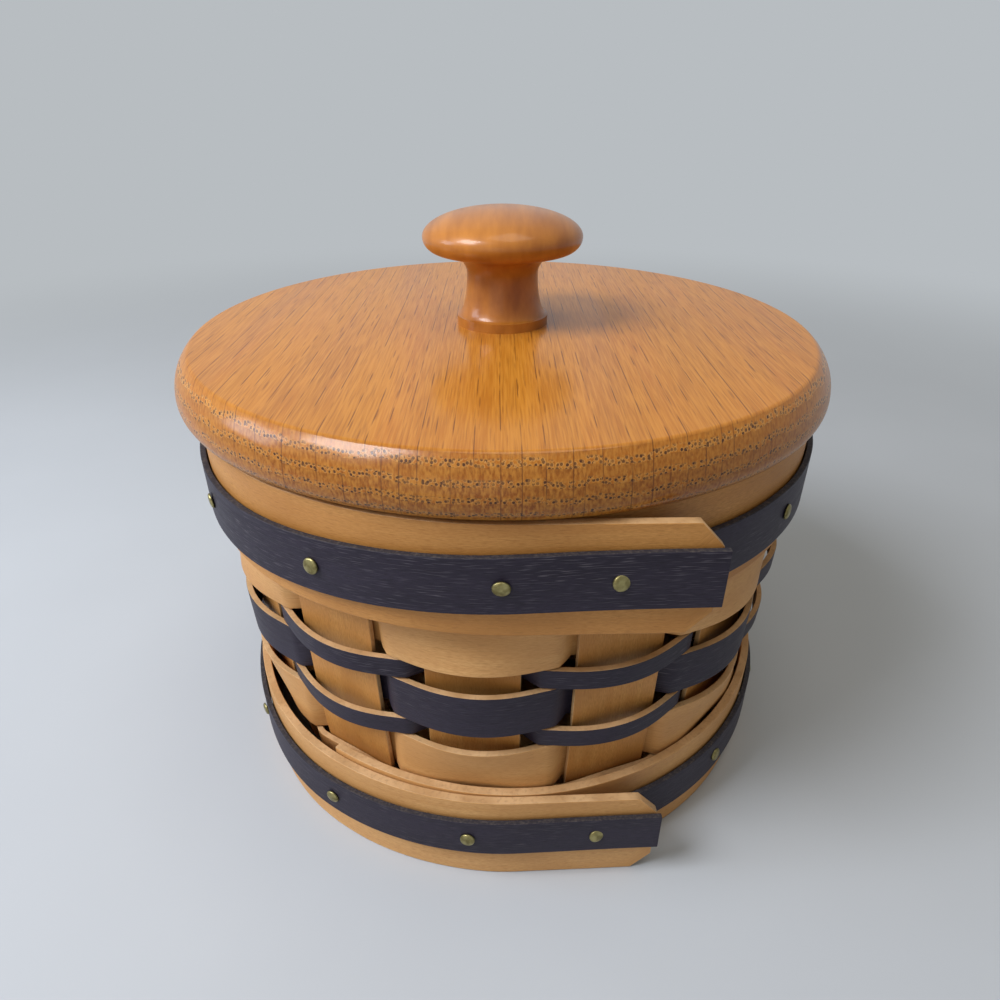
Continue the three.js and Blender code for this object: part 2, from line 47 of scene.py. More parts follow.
# Uprights: seven long splints that cross under the basket and stand up as fourteen uprights
SPLINT_COUNT = 7
UPRIGHT_COUNT = 2 * SPLINT_COUNT
PITCH = math.tau / UPRIGHT_COUNT
FIRST_UPRIGHT = math.radians(-6)
SPLINT_WIDTH = 20 * MM
SPLINT_THICKNESS = 1.2 * MM
SPLINT_WAIST = 7 * MM
SPLINT_WAIST_MARGIN = 2 * MM
LAYER_GAP = 0.3 * MM
WALL_STEPS, BEND_STEPS, FLAT_STEPS, RAMP_STEPS = 28, 10, 6, 10
SPLINT_COLUMNS = 4

# Wall, measured at the middle of the uprights
RIM_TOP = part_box("rim_band")[1].z
UPRIGHT_TOP = RIM_TOP - 0.5 * MM
BASE_HEIGHT = 8 * MM
BASE_BEND_RADIUS = 6 * MM
WALL_FOOT = BASE_HEIGHT + BASE_BEND_RADIUS
FOOT_WALL_RADIUS = 66.7 * MM
RIM_WALL_RADIUS = 68.9 * MM
WALL_BELLY = 1.4 * MM

# Weavers
WEAVER_THICKNESS = 1.4 * MM
WEAVER_BOW = 2.4 * MM
WEAVE_OFFSET = 1.6 * MM
CROSSING_MARGIN = 0.6 * MM
DIVE_START = 0.25
BOW_BLEND = 0.4
LAP_STEP = 1.7 * MM
BASE_ROW_COUNT = 4
BASE_ROW_WIDTH = 6.8 * MM
BASE_ROW_GAP = 0.5 * MM
STEPS_PER_UPRIGHT = 20
ROW_POINTS = 7
BASE_ROW_POINTS = 5

# Rim and foot bands and their trim
BAND_THICKNESS = 2 * MM
HOOP_THICKNESS = 1.5 * MM
TRIM_THICKNESS = 1.3 * MM
BAND_CLEARANCE = 0.3 * MM
LAP_CLEARANCE = 0.19 * MM
RIM_BAND_WIDTH = 24 * MM
FOOT_BAND_WIDTH = 25 * MM
BAND_START = math.radians(-34)
BAND_STEP_OUT = math.radians(42)
BAND_STEP_END = math.radians(1)
TRIM_START = math.radians(20)
TRIM_CLIMB_ANGLE = math.radians(80)
CLIP_LENGTH = 4.5 * MM
CLIP_HEIGHT = 5 * MM
FOOT_START_RISE = 1.2 * MM
FOOT_START_RISE_ANGLE = math.radians(45)
BAND_STEPS = 200
SPRUNG_STEPS = 20
BAND_COLUMNS = 6

# Cut strips: hand-made unevenness, soft corners, and the distance within which points are welded
STRIP_WOBBLE = 0.22 * MM
WOBBLE_LENGTH = 17 * MM
CORNER_SOFTNESS = 0.22 * MM
CORNER_ANGLE = math.radians(50)
WELD = 1e-6

# Shifts of the wood pattern, so that no two strips look cut from one place
SPLINT_SHIFT = 0.37
ROW_SHIFT = 1.31
BASE_ROW_SHIFT = 2.17
BAND_SHIFT = 3.3
BAND_NAME_SHIFT = 0.61
HOOP_SHIFT = 7.7

# Scratches: how far they lean off the run of a strip, and their colour
SCRATCH_LEAN = 0.02
SCRATCH_COLOUR = "#8E8890"

# Tack heads
TACK_RADIUS = 1.7 * MM
TACK_HEIGHT = 0.72 * MM
TACK_TILT = math.radians(9)
TACK_SEGMENTS = 28
TACK_RINGS = 22
TACK_DOME_POWER = 0.55

# Lid board. The hoop's solid has flats, which stand inside its circle by their depth.
LID_THICKNESS = 12.2 * MM
LID_TOP_RADIUS = 74 * MM
LID_EDGE_START = math.radians(52)
LID_EDGE_RADIUS = 10.4 * MM
LID_UNDER_EDGE_WIDTH = 3.4 * MM
LID_CREASE_RADIUS = 1.6 * MM
LID_CREASE_STEPS = 6
LID_PLUG_DEPTH = 5 * MM
LID_PLUG_CLEARANCE = 1.6 * MM
LID_PLUG_CHAMFER = 1 * MM
HOOP_FACET_DEPTH = 0.15 * MM
SCREW_HOLE_RADIUS = 2.4 * MM
SCREW_RECESS_RADIUS = 4.5 * MM
SCREW_HEAD_DEPTH = 2.6 * MM

# Growth rings of the lid's oak, the age in rings that its top shows, and the rays across them
RING_SPACING = 2.8 * MM
RING_SWAY = 3.4 * MM
RING_STEP = 0.5 * MM
TOP_AGE = 0.73
RAY_SPACING = 3.4 * MM

# Knob
KNOB_CAP_RADIUS = 19 * MM
KNOB_CAP_WIDEST = 20.4 * MM
KNOB_CAP_LIP_HEIGHT = 16.9 * MM
KNOB_CAP_LIP_WIDTH = 4 * MM
KNOB_CAP_STEPS = 32
KNOB_NECK_RADIUS = 8.6 * MM
KNOB_NECK_HEIGHT = 12 * MM
KNOB_FOOT_RADIUS = 11.2 * MM
KNOB_FOOT_LIP = 2.2 * MM
KNOB_BORE_DEPTH = 14.8 * MM

# Turned pieces: a point within reach of the axis is on it
TURNED_SEGMENTS = 192
ARC_STEPS = 20
AXIS_REACH = 1e-7
SHARP_ANGLE = math.radians(32)

# Room
BACKDROP = "#B8BDC1"
FLOOR_REACH = 3.0
FLOOR_FADE_START = 0.22
FLOOR_FADE_END = 0.75
FLOOR_PATCHES_PER_METRE = 9.0
AMBIENT_COLOUR = "#E0DBD2"
AMBIENT_POWER = 0.37
LAMP_AIM = (0, 0, 0.08)
CAMERA_PLACE = (-0.0016, -0.1753, 0.1607)
CAMERA_TILT = math.radians(59.9)
CAMERA_LENS = 25.2
CAMERA_SENSOR = 36
CAMERA_CLIP = 0.005


def linear(code):
    """An sRGB colour written as a hex string, in the linear values that Blender's sockets hold."""
    channels = [int(code[index:index + 2], 16) / 255 for index in (1, 3, 5)]
    return [c / 12.92 if c <= 0.04045 else ((c + 0.055) / 1.055) ** 2.4 for c in channels] + [1.0]


def add(tree, kind, inputs=None, **settings):
    """Adds a node; an input may be a value, a socket, a node (its first output) or a list of them."""
    node = tree.nodes.new(kind)
    for name, value in settings.items():
        setattr(node, name, value)
    for key, value in (inputs or {}).items():
        several = isinstance(value, list) and isinstance(value[0], bpy.types.Node)
        for source in value if several else [value]:
            if isinstance(source, bpy.types.Node):
                source = source.outputs[0]
            if isinstance(source, bpy.types.NodeSocket):
                tree.links.new(source, node.inputs[key])
            else:
                node.inputs[key].default_value = source
    return node


# Kinds of node that come often, and the sockets of a colour mix
MATH = "ShaderNodeMath"
RANGE = "ShaderNodeMapRange"
NOISE = "ShaderNodeTexNoise"
MIX = "ShaderNodeMix"
COLOR_A, COLOR_B, COLOR_OUT = 6, 7, 2


# Materials

def per(*sizes):
    """How often a pattern repeats in a metre along each axis, from its sizes there in millimetres."""
    return tuple(1 / (size * MM) for size in sizes)


def start_material(name):
    material = bpy.data.materials.new(name)
    material.use_nodes = True
    material.node_tree.nodes.clear()
    return material, material.node_tree


def finish_material(material, settings):
    """Ends a material in one shader with these settings."""
    shader = add(material.node_tree, "ShaderNodeBsdfPrincipled", settings)
    add(material.node_tree, "ShaderNodeOutputMaterial", {"Surface": shader})
    return material


def two_toned(tree, colour, code, pattern, low, high, most=1.0):
    """A colour that turns into another where a pattern rises from a low value to a high one."""
    share = add(tree, RANGE, {"Value": pattern, "From Min": low, "From Max": high, "To Max": most})
    mixed = add(tree, MIX, {0: share, COLOR_A: colour, COLOR_B: linear(code)}, data_type="RGBA")
    return mixed.outputs[COLOR_OUT]


def splint_wood(name, colours, roughness, fleck_share, scratch_share, shine):
    """Sliced splint: long soft streaks, felt-like fibres, short flecks and fine scratches along it."""
    pale, middle, dark, fleck = colours
    material, tree = start_material(name)
    grain = add(tree, "ShaderNodeUVMap", uv_map="grain")
    # Each pattern has a length and a width in millimetres, and comes in from a low to a high value.
    # Real fibres, flecks and scratches are finer, and these are drawn as wide as they need to show.
    patterns, shares = [], []
    for length, width, detail, rough, lean, low, high, most in (
            (55, 1.6, 4.0, 0.6, 0.0, 0.3, 0.7, 1.0),
            (35, 14, 2.0, 0.5, 0.0, 0.35, 0.65, 0.7),
            (1.3, 0.24, 3.0, 0.6, 0.0, 0.37, 0.63, 0.55),
            (2.6, 0.32, 1.0, 0.5, 0.0, 0.58, 0.7, fleck_share),
            (3.4, 0.2, 0.0, 0.5, SCRATCH_LEAN, 0.6, 0.78, scratch_share)):
        place = add(tree, "ShaderNodeMapping", {"Vector": grain, "Scale": per(length, width, 1),
                                                "Rotation": (0, 0, lean)})
        pattern = add(tree, NOISE, {"Vector": place, "Scale": 1.0, "Detail": detail, "Roughness": rough})
        patterns.append(pattern)
        shares.append(add(tree, RANGE, {"Value": pattern, "From Min": low, "From Max": high,
                                        "To Max": most}))
    streaks, felt = patterns[0], patterns[2]
    streaked, clouded, felted, flecked, scratched = shares
    worn = add(tree, MATH, {0: scratched, 1: clouded}, operation="MULTIPLY")
    colour = linear(middle)
    for share, code in ((streaked, pale), (clouded, dark), (felted, dark), (flecked, fleck),
                        (worn, SCRATCH_COLOUR)):
        mixed = add(tree, MIX, {0: share, COLOR_A: colour, COLOR_B: linear(code)}, data_type="RGBA")
        colour = mixed.outputs[COLOR_OUT]
    fibre = add(tree, MATH, {0: streaks, 1: felt}, operation="ADD")
    bump = add(tree, "ShaderNodeBump", {"Height": fibre, "Strength": 0.4, "Distance": 0.1 * MM})
    gloss = add(tree, RANGE, {"Value": streaks, "From Min": 0.2, "From Max": 0.8,
                              "To Min": roughness - 0.07, "To Max": roughness + 0.1})
    return finish_material(material, {
        "Base Color": colour, "Roughness": gloss, "Normal": bump, "Specular IOR Level": shine})


def maple_row():
    """Clear-finished maple weaver: satin, tan, with fine flecks along the strip."""
    return splint_wood("clear_finished_maple", ["#DCAF74", "#CF9C5F", "#B8834A", "#9A6A36"],
                       roughness=0.5, fleck_share=0.3, scratch_share=0.0, shine=0.35)


def painted_shade_maple():
    """The rows' clear-finished maple drawn darker and more orange for the uprights and the rim band:
    painted shade, for the uprights in shade between the rows and the rim band under the lid.
    """
    return splint_wood("painted_shade_maple", ["#CF9A57", "#C08645", "#A66F33", "#8A5927"],
                       roughness=0.48, fleck_share=0.3, scratch_share=0.0, shine=0.35)


def navy_maple():
    """Navy stained maple: the stain takes unevenly and shows light scratches along the strip."""
    return splint_wood("navy_stained_maple", ["#36303F", "#2A2533", "#201B27", "#17131B"],
                       roughness=0.5, fleck_share=0.5, scratch_share=0.4, shine=0.25)


def sawn_edge():
    """Cut edge of a splint: bare pale wood, slightly furry where the knife tore the fibres."""
    material, tree = start_material("cut_maple_edge")
    place = add(tree, "ShaderNodeTexCoord").outputs["Object"]
    fur = add(tree, NOISE, {"Vector": place, "Scale": 1 / (0.9 * MM), "Detail": 3.0})
    tone = add(tree, NOISE, {"Vector": place, "Scale": 1 / (8 * MM), "Detail": 2.0})
    bare = two_toned(tree, linear("#B48C5C"), "#CBA576", tone, 0.35, 0.65)
    torn = two_toned(tree, bare, "#A07B52", fur, 0.5, 0.75, most=0.6)
    bump = add(tree, "ShaderNodeBump", {"Height": fur, "Strength": 0.5, "Distance": 0.1 * MM})
    return finish_material(material, {"Base Color": torn, "Roughness": 0.7, "Normal": bump})


def dyed_edge():
    """Cut edge of a strip that was stained after cutting: dark, with pale furry fibres in it."""
    material, tree = start_material("navy_stained_edge")
    place = add(tree, "ShaderNodeTexCoord").outputs["Object"]
    fur = add(tree, NOISE, {"Vector": place, "Scale": 1 / (0.6 * MM), "Detail": 2.0})
    colour = two_toned(tree, linear("#1F1C24"), "#5E564F", fur, 0.45, 0.75, most=0.5)
    return finish_material(material, {"Base Color": colour, "Roughness": 0.75})


def oak_rays(tree, across, sideways, sway, breaks):
    """Rays: thin upright sheets about 3 mm apart, broken up along the grain. They show as lines where
    the surface cuts them edgewise, and fade on the two sides of the lid, which lie along them. Gives
    how strongly a ray shows, and the place counted in rays."""
    ray_sway = add(tree, MATH, {0: sway, 1: 0.6}, operation="MULTIPLY")
    ray_count = add(tree, MATH, {0: across, 1: 1 / RAY_SPACING, 2: ray_sway}, operation="MULTIPLY_ADD")
    rays = add(tree, "ShaderNodeTexVoronoi", {"W": ray_count, "Scale": 1.0},
               voronoi_dimensions="1D", feature="DISTANCE_TO_EDGE")
    line = add(tree, RANGE, {"Value": rays, "From Min": 0.012, "From Max": 0.045, "To Min": 0.8,
                             "To Max": 0.0})
    whole = add(tree, RANGE, {"Value": breaks, "From Min": 0.4, "From Max": 0.56})
    turned_aside = add(tree, MATH, {0: sideways}, operation="ABSOLUTE")
    edgewise = add(tree, RANGE, {"Value": turned_aside, "From Min": 0.45, "From Max": 0.75,
                                 "To Min": 1.0, "To Max": 0.0})
    shown = add(tree, MATH, {0: line, 1: edgewise}, operation="MULTIPLY")
    return add(tree, MATH, {0: shown, 1: whole}, operation="MULTIPLY"), ray_count


def oak_age(tree, height, ray_count, sway):
    """Age in the log, in growth rings: the height below the top, which sways and steps at the rays."""
    blocks = add(tree, "ShaderNodeTexVoronoi", {"W": ray_count, "Scale": 1.0}, voronoi_dimensions="1D")
    block = add(tree, "ShaderNodeSeparateColor", {0: blocks.outputs["Color"]})
    swayed = add(tree, MATH, {0: sway, 1: RING_SWAY, 2: height}, operation="MULTIPLY_ADD")
    stepped = add(tree, MATH, {0: block, 1: RING_STEP, 2: swayed}, operation="MULTIPLY_ADD")
    lid_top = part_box("lid_board")[1].z
    age_offset = TOP_AGE - (lid_top + RING_SWAY / 2 + RING_STEP / 2) / RING_SPACING
    ring = add(tree, MATH, {0: stepped, 1: 1 / RING_SPACING, 2: age_offset}, operation="MULTIPLY_ADD")
    return add(tree, MATH, {0: ring}, operation="FRACT")


def oak_pores(tree, place, age, closures):
    """Spring pores: open tubes in rows, closed here and there, each with a pale ring round it that is a
    painted highlight on its rim. Real ones are 0.3 mm across, and these are drawn at about 0.5 mm, so
    that they show. Gives how open a pore is, and how much the painted rim highlight shows."""
    porous = add(tree, RANGE, {"Value": age, "From Min": 0.33, "From Max": 0.44, "To Min": 1.0,
                               "To Max": 0.0})
    across_grain = add(tree, "ShaderNodeMapping", {
        "Vector": place, "Rotation": (math.radians(-90), 0, 0), "Scale": per(0.72, 20, 0.64)})
    pores = add(tree, "ShaderNodeTexVoronoi", {"Vector": across_grain, "Scale": 1.0, "Randomness": 0.85},
                voronoi_dimensions="2D")
    chance = add(tree, "ShaderNodeSeparateColor", {0: pores.outputs["Color"]})
    depth = add(tree, RANGE, {"Value": chance, "To Min": 0.5, "To Max": 1.0})
    middle = add(tree, RANGE, {"Value": pores, "From Min": 0.28, "From Max": 0.42, "To Min": 1.0,
                               "To Max": 0.0})
    core = add(tree, MATH, {0: middle, 1: depth}, operation="MULTIPLY")
    opened = add(tree, RANGE, {"Value": closures, "From Min": 0.28, "From Max": 0.38})
    opening = add(tree, MATH, {0: porous, 1: opened}, operation="MULTIPLY")
    pore = add(tree, MATH, {0: core, 1: opening}, operation="MULTIPLY")
    # painted highlight: a pale ring round each pore stands for the light on its rim
    ring = add(tree, RANGE, {"Value": pores, "From Min": 0.42, "From Max": 0.6, "To Min": 0.55,
                             "To Max": 0.0})
    return pore, add(tree, MATH, {0: ring, 1: porous}, operation="MULTIPLY")


def oak_dashes(tree, place):
    """Later pores: sparse and finer, dashes some 5 mm long where the top cuts them lengthwise."""
    dash_place = add(tree, "ShaderNodeMapping", {"Vector": place, "Scale": per(1.5, 22, 1.7)})
    dashes = add(tree, "ShaderNodeTexVoronoi", {"Vector": dash_place, "Scale": 1.0})
    return add(tree, RANGE, {"Value": dashes, "From Min": 0.08, "From Max": 0.15, "To Min": 0.5,
                             "To Max": 0.0})


def oak_soak(tree, along, age):
    """How much lacquer soaks in where the surface cuts the grain across: most in the late wood."""
    end_on = add(tree, MATH, {0: along}, operation="ABSOLUTE")
    end_share = add(tree, RANGE, {"Value": end_on, "From Min": 0.15, "From Max": 1.0, "To Max": 0.9})
    thirst = add(tree, RANGE, {"Value": age, "From Min": 0.3, "From Max": 0.6, "To Min": 0.8,
                               "To Max": 0.92})
    return add(tree, MATH, {0: end_share, 1: thirst}, operation="MULTIPLY")


def oak():
    """Flat-sawn oak under golden lacquer. The growth rings lie level, so the top shows one ring with
    pores as dashes along Y, and the edge shows rows of open pores, crossed by rays as dark lines. The
    ends of the grain drink more lacquer, so the front and the back of the edge are darker."""
    material, tree = start_material("golden_lacquered_oak")
    space = add(tree, "ShaderNodeTexCoord")
    place = space.outputs["Object"]
    axes = add(tree, "ShaderNodeSeparateXYZ", {0: place})
    facing = add(tree, "ShaderNodeSeparateXYZ", {0: space.outputs["Normal"]})
    # Each pattern has sizes in millimetres across the grain, along it and upright. Fibres are upright
    # specks on the end grain and streaks 12 mm long on the top, drawn as wide as they need to show.
    patterns = []
    for sizes, detail in (((19, 160, 50), 2.0), ((3, 9, 12), 1.0), ((0.5, 3.5, 0.5), 0.0),
                          ((0.44, 12, 0.9), 2.0), ((0.3, 9, 0.8), 1.0), ((9, 80, 9), 3.0)):
        stretched = add(tree, "ShaderNodeMapping", {"Vector": place, "Scale": per(*sizes)})
        patterns.append(add(tree, NOISE, {"Vector": stretched, "Scale": 1.0, "Detail": detail}))
    sway, breaks, closures, fibres, specks, tone = patterns
    ray, ray_count = oak_rays(tree, axes.outputs["X"], facing.outputs["X"], sway, breaks)
    age = oak_age(tree, axes.outputs["Z"], ray_count, sway)
    pore, wall = oak_pores(tree, place, age, closures)
    soak = oak_soak(tree, facing.outputs["Y"], age)
    toned = add(tree, RANGE, {"Value": tone, "From Min": 0.35, "From Max": 0.65})
    late = add(tree, RANGE, {"Value": age, "From Min": 0.3, "From Max": 0.95, "To Max": 0.75})
    fibred = add(tree, RANGE, {"Value": fibres, "From Min": 0.36, "From Max": 0.66, "To Max": 0.55})
    specked = add(tree, RANGE, {"Value": specks, "From Min": 0.54, "From Max": 0.7, "To Max": 0.38})
    # Where the fibres end, the driest stay pale and show as fine upright ticks.
    ticked = add(tree, MATH, {0: fibred, 1: soak}, operation="MULTIPLY")
    colour = linear("#BE7019")
    for share, code, blend in (
            (toned, "#CD8423", "MIX"), (late, "#A86B20", "MIX"), (fibred, "#D28F36", "MIX"),
            # the pale pore wall colour #E8B468 is a painted highlight on the pores' rims
            (specked, "#8A5114", "MIX"), (wall, "#E8B468", "MIX"), (soak, "#9E8349", "MULTIPLY"),
            (ticked, "#C68A38", "MIX"), (ray, "#5E300C", "MIX"),
            (oak_dashes(tree, place), "#6E3A0E", "MIX"), (pore, "#45220A", "MIX")):
        mixed = add(tree, MIX, {0: share, COLOR_A: colour, COLOR_B: linear(code)},
                    data_type="RGBA", blend_type=blend)
        colour = mixed.outputs[COLOR_OUT]
    relief = add(tree, MATH, {0: pore, 1: -1.0, 2: 1.0}, operation="MULTIPLY_ADD")
    bump = add(tree, "ShaderNodeBump", {"Height": relief, "Strength": 0.6, "Distance": 0.15 * MM})
    gloss = add(tree, RANGE, {"Value": tone, "From Min": 0.3, "From Max": 0.7, "To Min": 0.4,
                              "To Max": 0.5})
    return finish_material(material, {
        "Base Color": colour, "Roughness": gloss, "Normal": bump,
        "Specular IOR Level": 0.12, "Coat Weight": 0.55, "Coat Roughness": 0.18})


def turned_oak():
    """The knob's oak: finer and evenly coloured under a thicker, glossier lacquer."""
    material, tree = start_material("lacquered_turned_oak")
    place = add(tree, "ShaderNodeTexCoord").outputs["Object"]
    band_place = add(tree, "ShaderNodeMapping", {"Vector": place, "Scale": per(4, 30, 9)})
    bands = add(tree, NOISE, {"Vector": band_place, "Scale": 1.0, "Detail": 3.0})
    return finish_material(material, {
        "Base Color": two_toned(tree, linear("#96581A"), "#BD7A2F", bands, 0.3, 0.7),
        "Roughness": 0.4, "Specular IOR Level": 0.25, "Coat Weight": 0.45, "Coat Roughness": 0.15})


def brass():
    """Brass-plated steel tack heads, dulled and dimpled by the hammer."""
    material, tree = start_material("dulled_brass_plate")
    place = add(tree, "ShaderNodeTexCoord").outputs["Object"]
    tarnish = add(tree, NOISE, {"Vector": place, "Scale": 1 / (1.6 * MM), "Detail": 3.0})
    colour = two_toned(tree, linear("#A89E6C"), "#756B42", tarnish, 0.35, 0.65)
    bump = add(tree, "ShaderNodeBump", {"Height": tarnish, "Strength": 0.6, "Distance": 0.15 * MM})
    gloss = add(tree, RANGE, {"Value": tarnish, "From Min": 0.3, "From Max": 0.7, "To Min": 0.28,
                              "To Max": 0.5})
    return finish_material(material, {
        "Base Color": colour, "Roughness": gloss, "Metallic": 0.9, "Normal": bump})


def zinc_steel():
    """Zinc-plated screw: grey metal with the faint patches that plating leaves."""
    material, tree = start_material("zinc_plated_steel")
    place = add(tree, "ShaderNodeTexCoord").outputs["Object"]
    spangle = add(tree, NOISE, {"Vector": place, "Scale": 1 / (1.2 * MM), "Detail": 2.0})
    colour = two_toned(tree, linear("#8E9092"), "#B3B5B6", spangle, 0.3, 0.7)
    gloss = add(tree, RANGE, {"Value": spangle, "From Min": 0.3, "From Max": 0.7, "To Min": 0.3,
                              "To Max": 0.45})
    return finish_material(material, {"Base Color": colour, "Roughness": gloss, "Metallic": 1.0})


# Geometry node trees

STRIP_SIZES = {
    "Thickness": "Float", "Wobble": "Float", "Strip": "Float", "Face": "Material", "Edge": "Material"}


def start_tree(name, sizes):
    tree = bpy.data.node_groups.new(name, "GeometryNodeTree")
    tree.is_modifier = True
    tree.interface.new_socket("Geometry", in_out="INPUT", socket_type="NodeSocketGeometry")
    for label, kind in sizes.items():
        tree.interface.new_socket(label, in_out="INPUT", socket_type="NodeSocket" + kind)
    tree.interface.new_socket("Geometry", in_out="OUTPUT", socket_type="NodeSocketGeometry")
    return tree, tree.nodes.new("NodeGroupInput").outputs


def splint_solid_tree():
    """Gives a sheet a strip's thickness, hand-cut unevenness, faces and cut edges."""
    tree, given = start_tree("splint_solid", STRIP_SIZES)
    noise = add(tree, NOISE, {"W": given["Strip"], "Scale": 1 / WOBBLE_LENGTH, "Detail": 1.0},
                noise_dimensions="4D")
    centred = add(tree, "ShaderNodeVectorMath", {0: noise.outputs["Color"], 1: (0.5, 0.5, 0.5)},
                  operation="SUBTRACT")
    shift = add(tree, "ShaderNodeVectorMath", {0: centred, "Scale": given["Wobble"]}, operation="SCALE")
    uneven = add(tree, "GeometryNodeSetPosition", {"Geometry": given["Geometry"], "Offset": shift})
    half = add(tree, MATH, {0: given["Thickness"], 1: -0.5}, operation="MULTIPLY")
    normal = add(tree, "GeometryNodeInputNormal")
    inward = add(tree, "ShaderNodeVectorMath", {0: normal, "Scale": half}, operation="SCALE")
    inner = add(tree, "GeometryNodeSetPosition", {"Geometry": uneven, "Offset": inward})
    grown = add(tree, "GeometryNodeExtrudeMesh", {"Mesh": inner, "Offset Scale": given["Thickness"],
                                                  "Individual": False}, mode="FACES")
    faced = add(tree, "GeometryNodeSetMaterial", {"Geometry": grown, "Material": given["Face"]})
    edged = add(tree, "GeometryNodeSetMaterial", {"Geometry": faced, "Selection": grown.outputs["Side"],
                                                  "Material": given["Edge"]})
    backed = add(tree, "GeometryNodeSetMaterial", {"Geometry": inner, "Material": given["Face"]})
    back = add(tree, "GeometryNodeFlipFaces", {"Mesh": backed})
    joined = add(tree, "GeometryNodeJoinGeometry", {"Geometry": [edged, back]})
    closed = add(tree, "GeometryNodeMergeByDistance", {"Geometry": joined, "Distance": WELD})
    smooth = add(tree, "GeometryNodeSetShadeSmooth", {"Geometry": closed, "Shade Smooth": True})
    add(tree, "NodeGroupOutput", {"Geometry": smooth})
    return tree


def finish_strip(tree, given, solid, sheet):
    """Ends a tree: turns its sheet into a solid strip of real mesh."""
    sizes = {label: given[label] for label in STRIP_SIZES}
    strip = add(tree, "GeometryNodeGroup", {"Geometry": sheet, **sizes}, node_tree=solid)
    real = add(tree, "GeometryNodeRealizeInstances", {"Geometry": strip})
    add(tree, "NodeGroupOutput", {"Geometry": real})


def cut_splint_tree(solid):
    """A strip that follows a path: its sheet comes in and its solid comes out."""
    tree, given = start_tree("cut_splint", STRIP_SIZES)
    finish_strip(tree, given, solid, given["Geometry"])
    return tree


def wall_radius_nodes(tree, height):
    """Radius of the wall at a height, with its belly, as wall_radius gives it."""
    rise = add(tree, RANGE, {"Value": height, "From Min": WALL_FOOT, "From Max": RIM_TOP})
    taper = add(tree, MIX, {0: rise, 2: FOOT_WALL_RADIUS, 3: RIM_WALL_RADIUS})
    left = add(tree, MATH, {0: 1.0, 1: rise}, operation="SUBTRACT")
    hump = add(tree, MATH, {0: rise, 1: left}, operation="MULTIPLY")
    return add(tree, MATH, {0: hump, 1: 4 * WALL_BELLY, 2: taper}, operation="MULTIPLY_ADD")


def row_swing(tree, given, upright):
    """How a row swings out and in, once every two uprights. The swing is 1 or -1 on an upright and
    passes 0 half way to the next, the wave is 1 where the row runs outside, and the passing is how far
    the row stands out from the middle of the uprights."""
    half_turns = add(tree, MATH, {0: upright, 1: math.pi}, operation="MULTIPLY")
    swing = add(tree, MATH, {0: half_turns}, operation="COSINE")
    wave = add(tree, MATH, {0: swing, 1: given["Front Side"]}, operation="MULTIPLY")
    other_edge = add(tree, MATH, {0: given["Edge Swing"], 1: -1.0}, operation="MULTIPLY")
    passing = add(tree, RANGE, {
        "Value": wave, "From Min": other_edge, "From Max": given["Out From"],
        "To Min": -WEAVE_OFFSET, "To Max": WEAVE_OFFSET}, interpolation_type="SMOOTHSTEP")
    return swing, wave, passing


def row_stretch(tree, given, freedom, swing):
    """A held edge lies along a flat upright, so it stands further out beside it."""
    swing_squared = add(tree, MATH, {0: swing, 1: swing}, operation="MULTIPLY")
    beside = add(tree, MATH, {0: 1.0, 1: swing_squared}, operation="SUBTRACT")
    most_stretch = add(tree, MIX, {0: freedom, 2: given["Edge Stretch"], 3: 1.0})
    return add(tree, RANGE, {"Value": beside, "From Max": given["Edge Beside"], "To Min": 1.0,
                             "To Max": most_stretch})


def row_reach(tree, given, upright, across, height):
    """Radius of a row on the wall, and how far it stands out from the middle of the uprights. A free
    edge bows past each upright, and the last pass of a lapped row steps inside its first."""
    swing, wave, passing = row_swing(tree, given, upright)
    wall = wall_radius_nodes(tree, height)
    freedom = add(tree, MIX, {0: across, 2: given["Low Freedom"], 3: given["High Freedom"]})
    stretch = row_stretch(tree, given, freedom, swing)
    chord = add(tree, MATH, {0: wall, 1: stretch, 2: passing}, operation="MULTIPLY_ADD")
    bow = add(tree, MATH, {0: freedom, 1: given["Bow"]}, operation="MULTIPLY")
    outward = add(tree, MATH, {0: wave, 1: 0.0, 2: BOW_BLEND}, operation="SMOOTH_MAX")
    bowed = add(tree, MATH, {0: bow, 1: outward, 2: chord}, operation="MULTIPLY_ADD")
    lap = add(tree, RANGE, {
        "Value": upright, "From Min": given["Lap Start"], "From Max": given["Lap End"], "To Min": 0.0,
        "To Max": given["Lap"]}, interpolation_type="SMOOTHSTEP")
    return add(tree, MATH, {0: bowed, 1: lap}, operation="SUBTRACT"), passing


def row_point(tree, azimuth, reach, level):
    """The place at an azimuth from the front, a reach from the middle and a level, as polar gives it."""
    sine = add(tree, MATH, {0: azimuth}, operation="SINE")
    cosine = add(tree, MATH, {0: azimuth}, operation="COSINE")
    x = add(tree, MATH, {0: reach, 1: sine}, operation="MULTIPLY")
    back_y = add(tree, MATH, {0: reach, 1: cosine}, operation="MULTIPLY")
    y = add(tree, MATH, {0: back_y, 1: -1.0}, operation="MULTIPLY")
    return add(tree, "ShaderNodeCombineXYZ", {"X": x, "Y": y, "Z": level})


def row_grain(tree, given, azimuth, height):
    """Grain map in metres: along the strip and across it."""
    along = add(tree, MATH, {0: azimuth, 1: FOOT_WALL_RADIUS, 2: given["Strip"]},
                operation="MULTIPLY_ADD")
    across = add(tree, MATH, {0: height, 1: given["Strip"]}, operation="ADD")
    return add(tree, "ShaderNodeCombineXYZ", {"X": along, "Y": across})


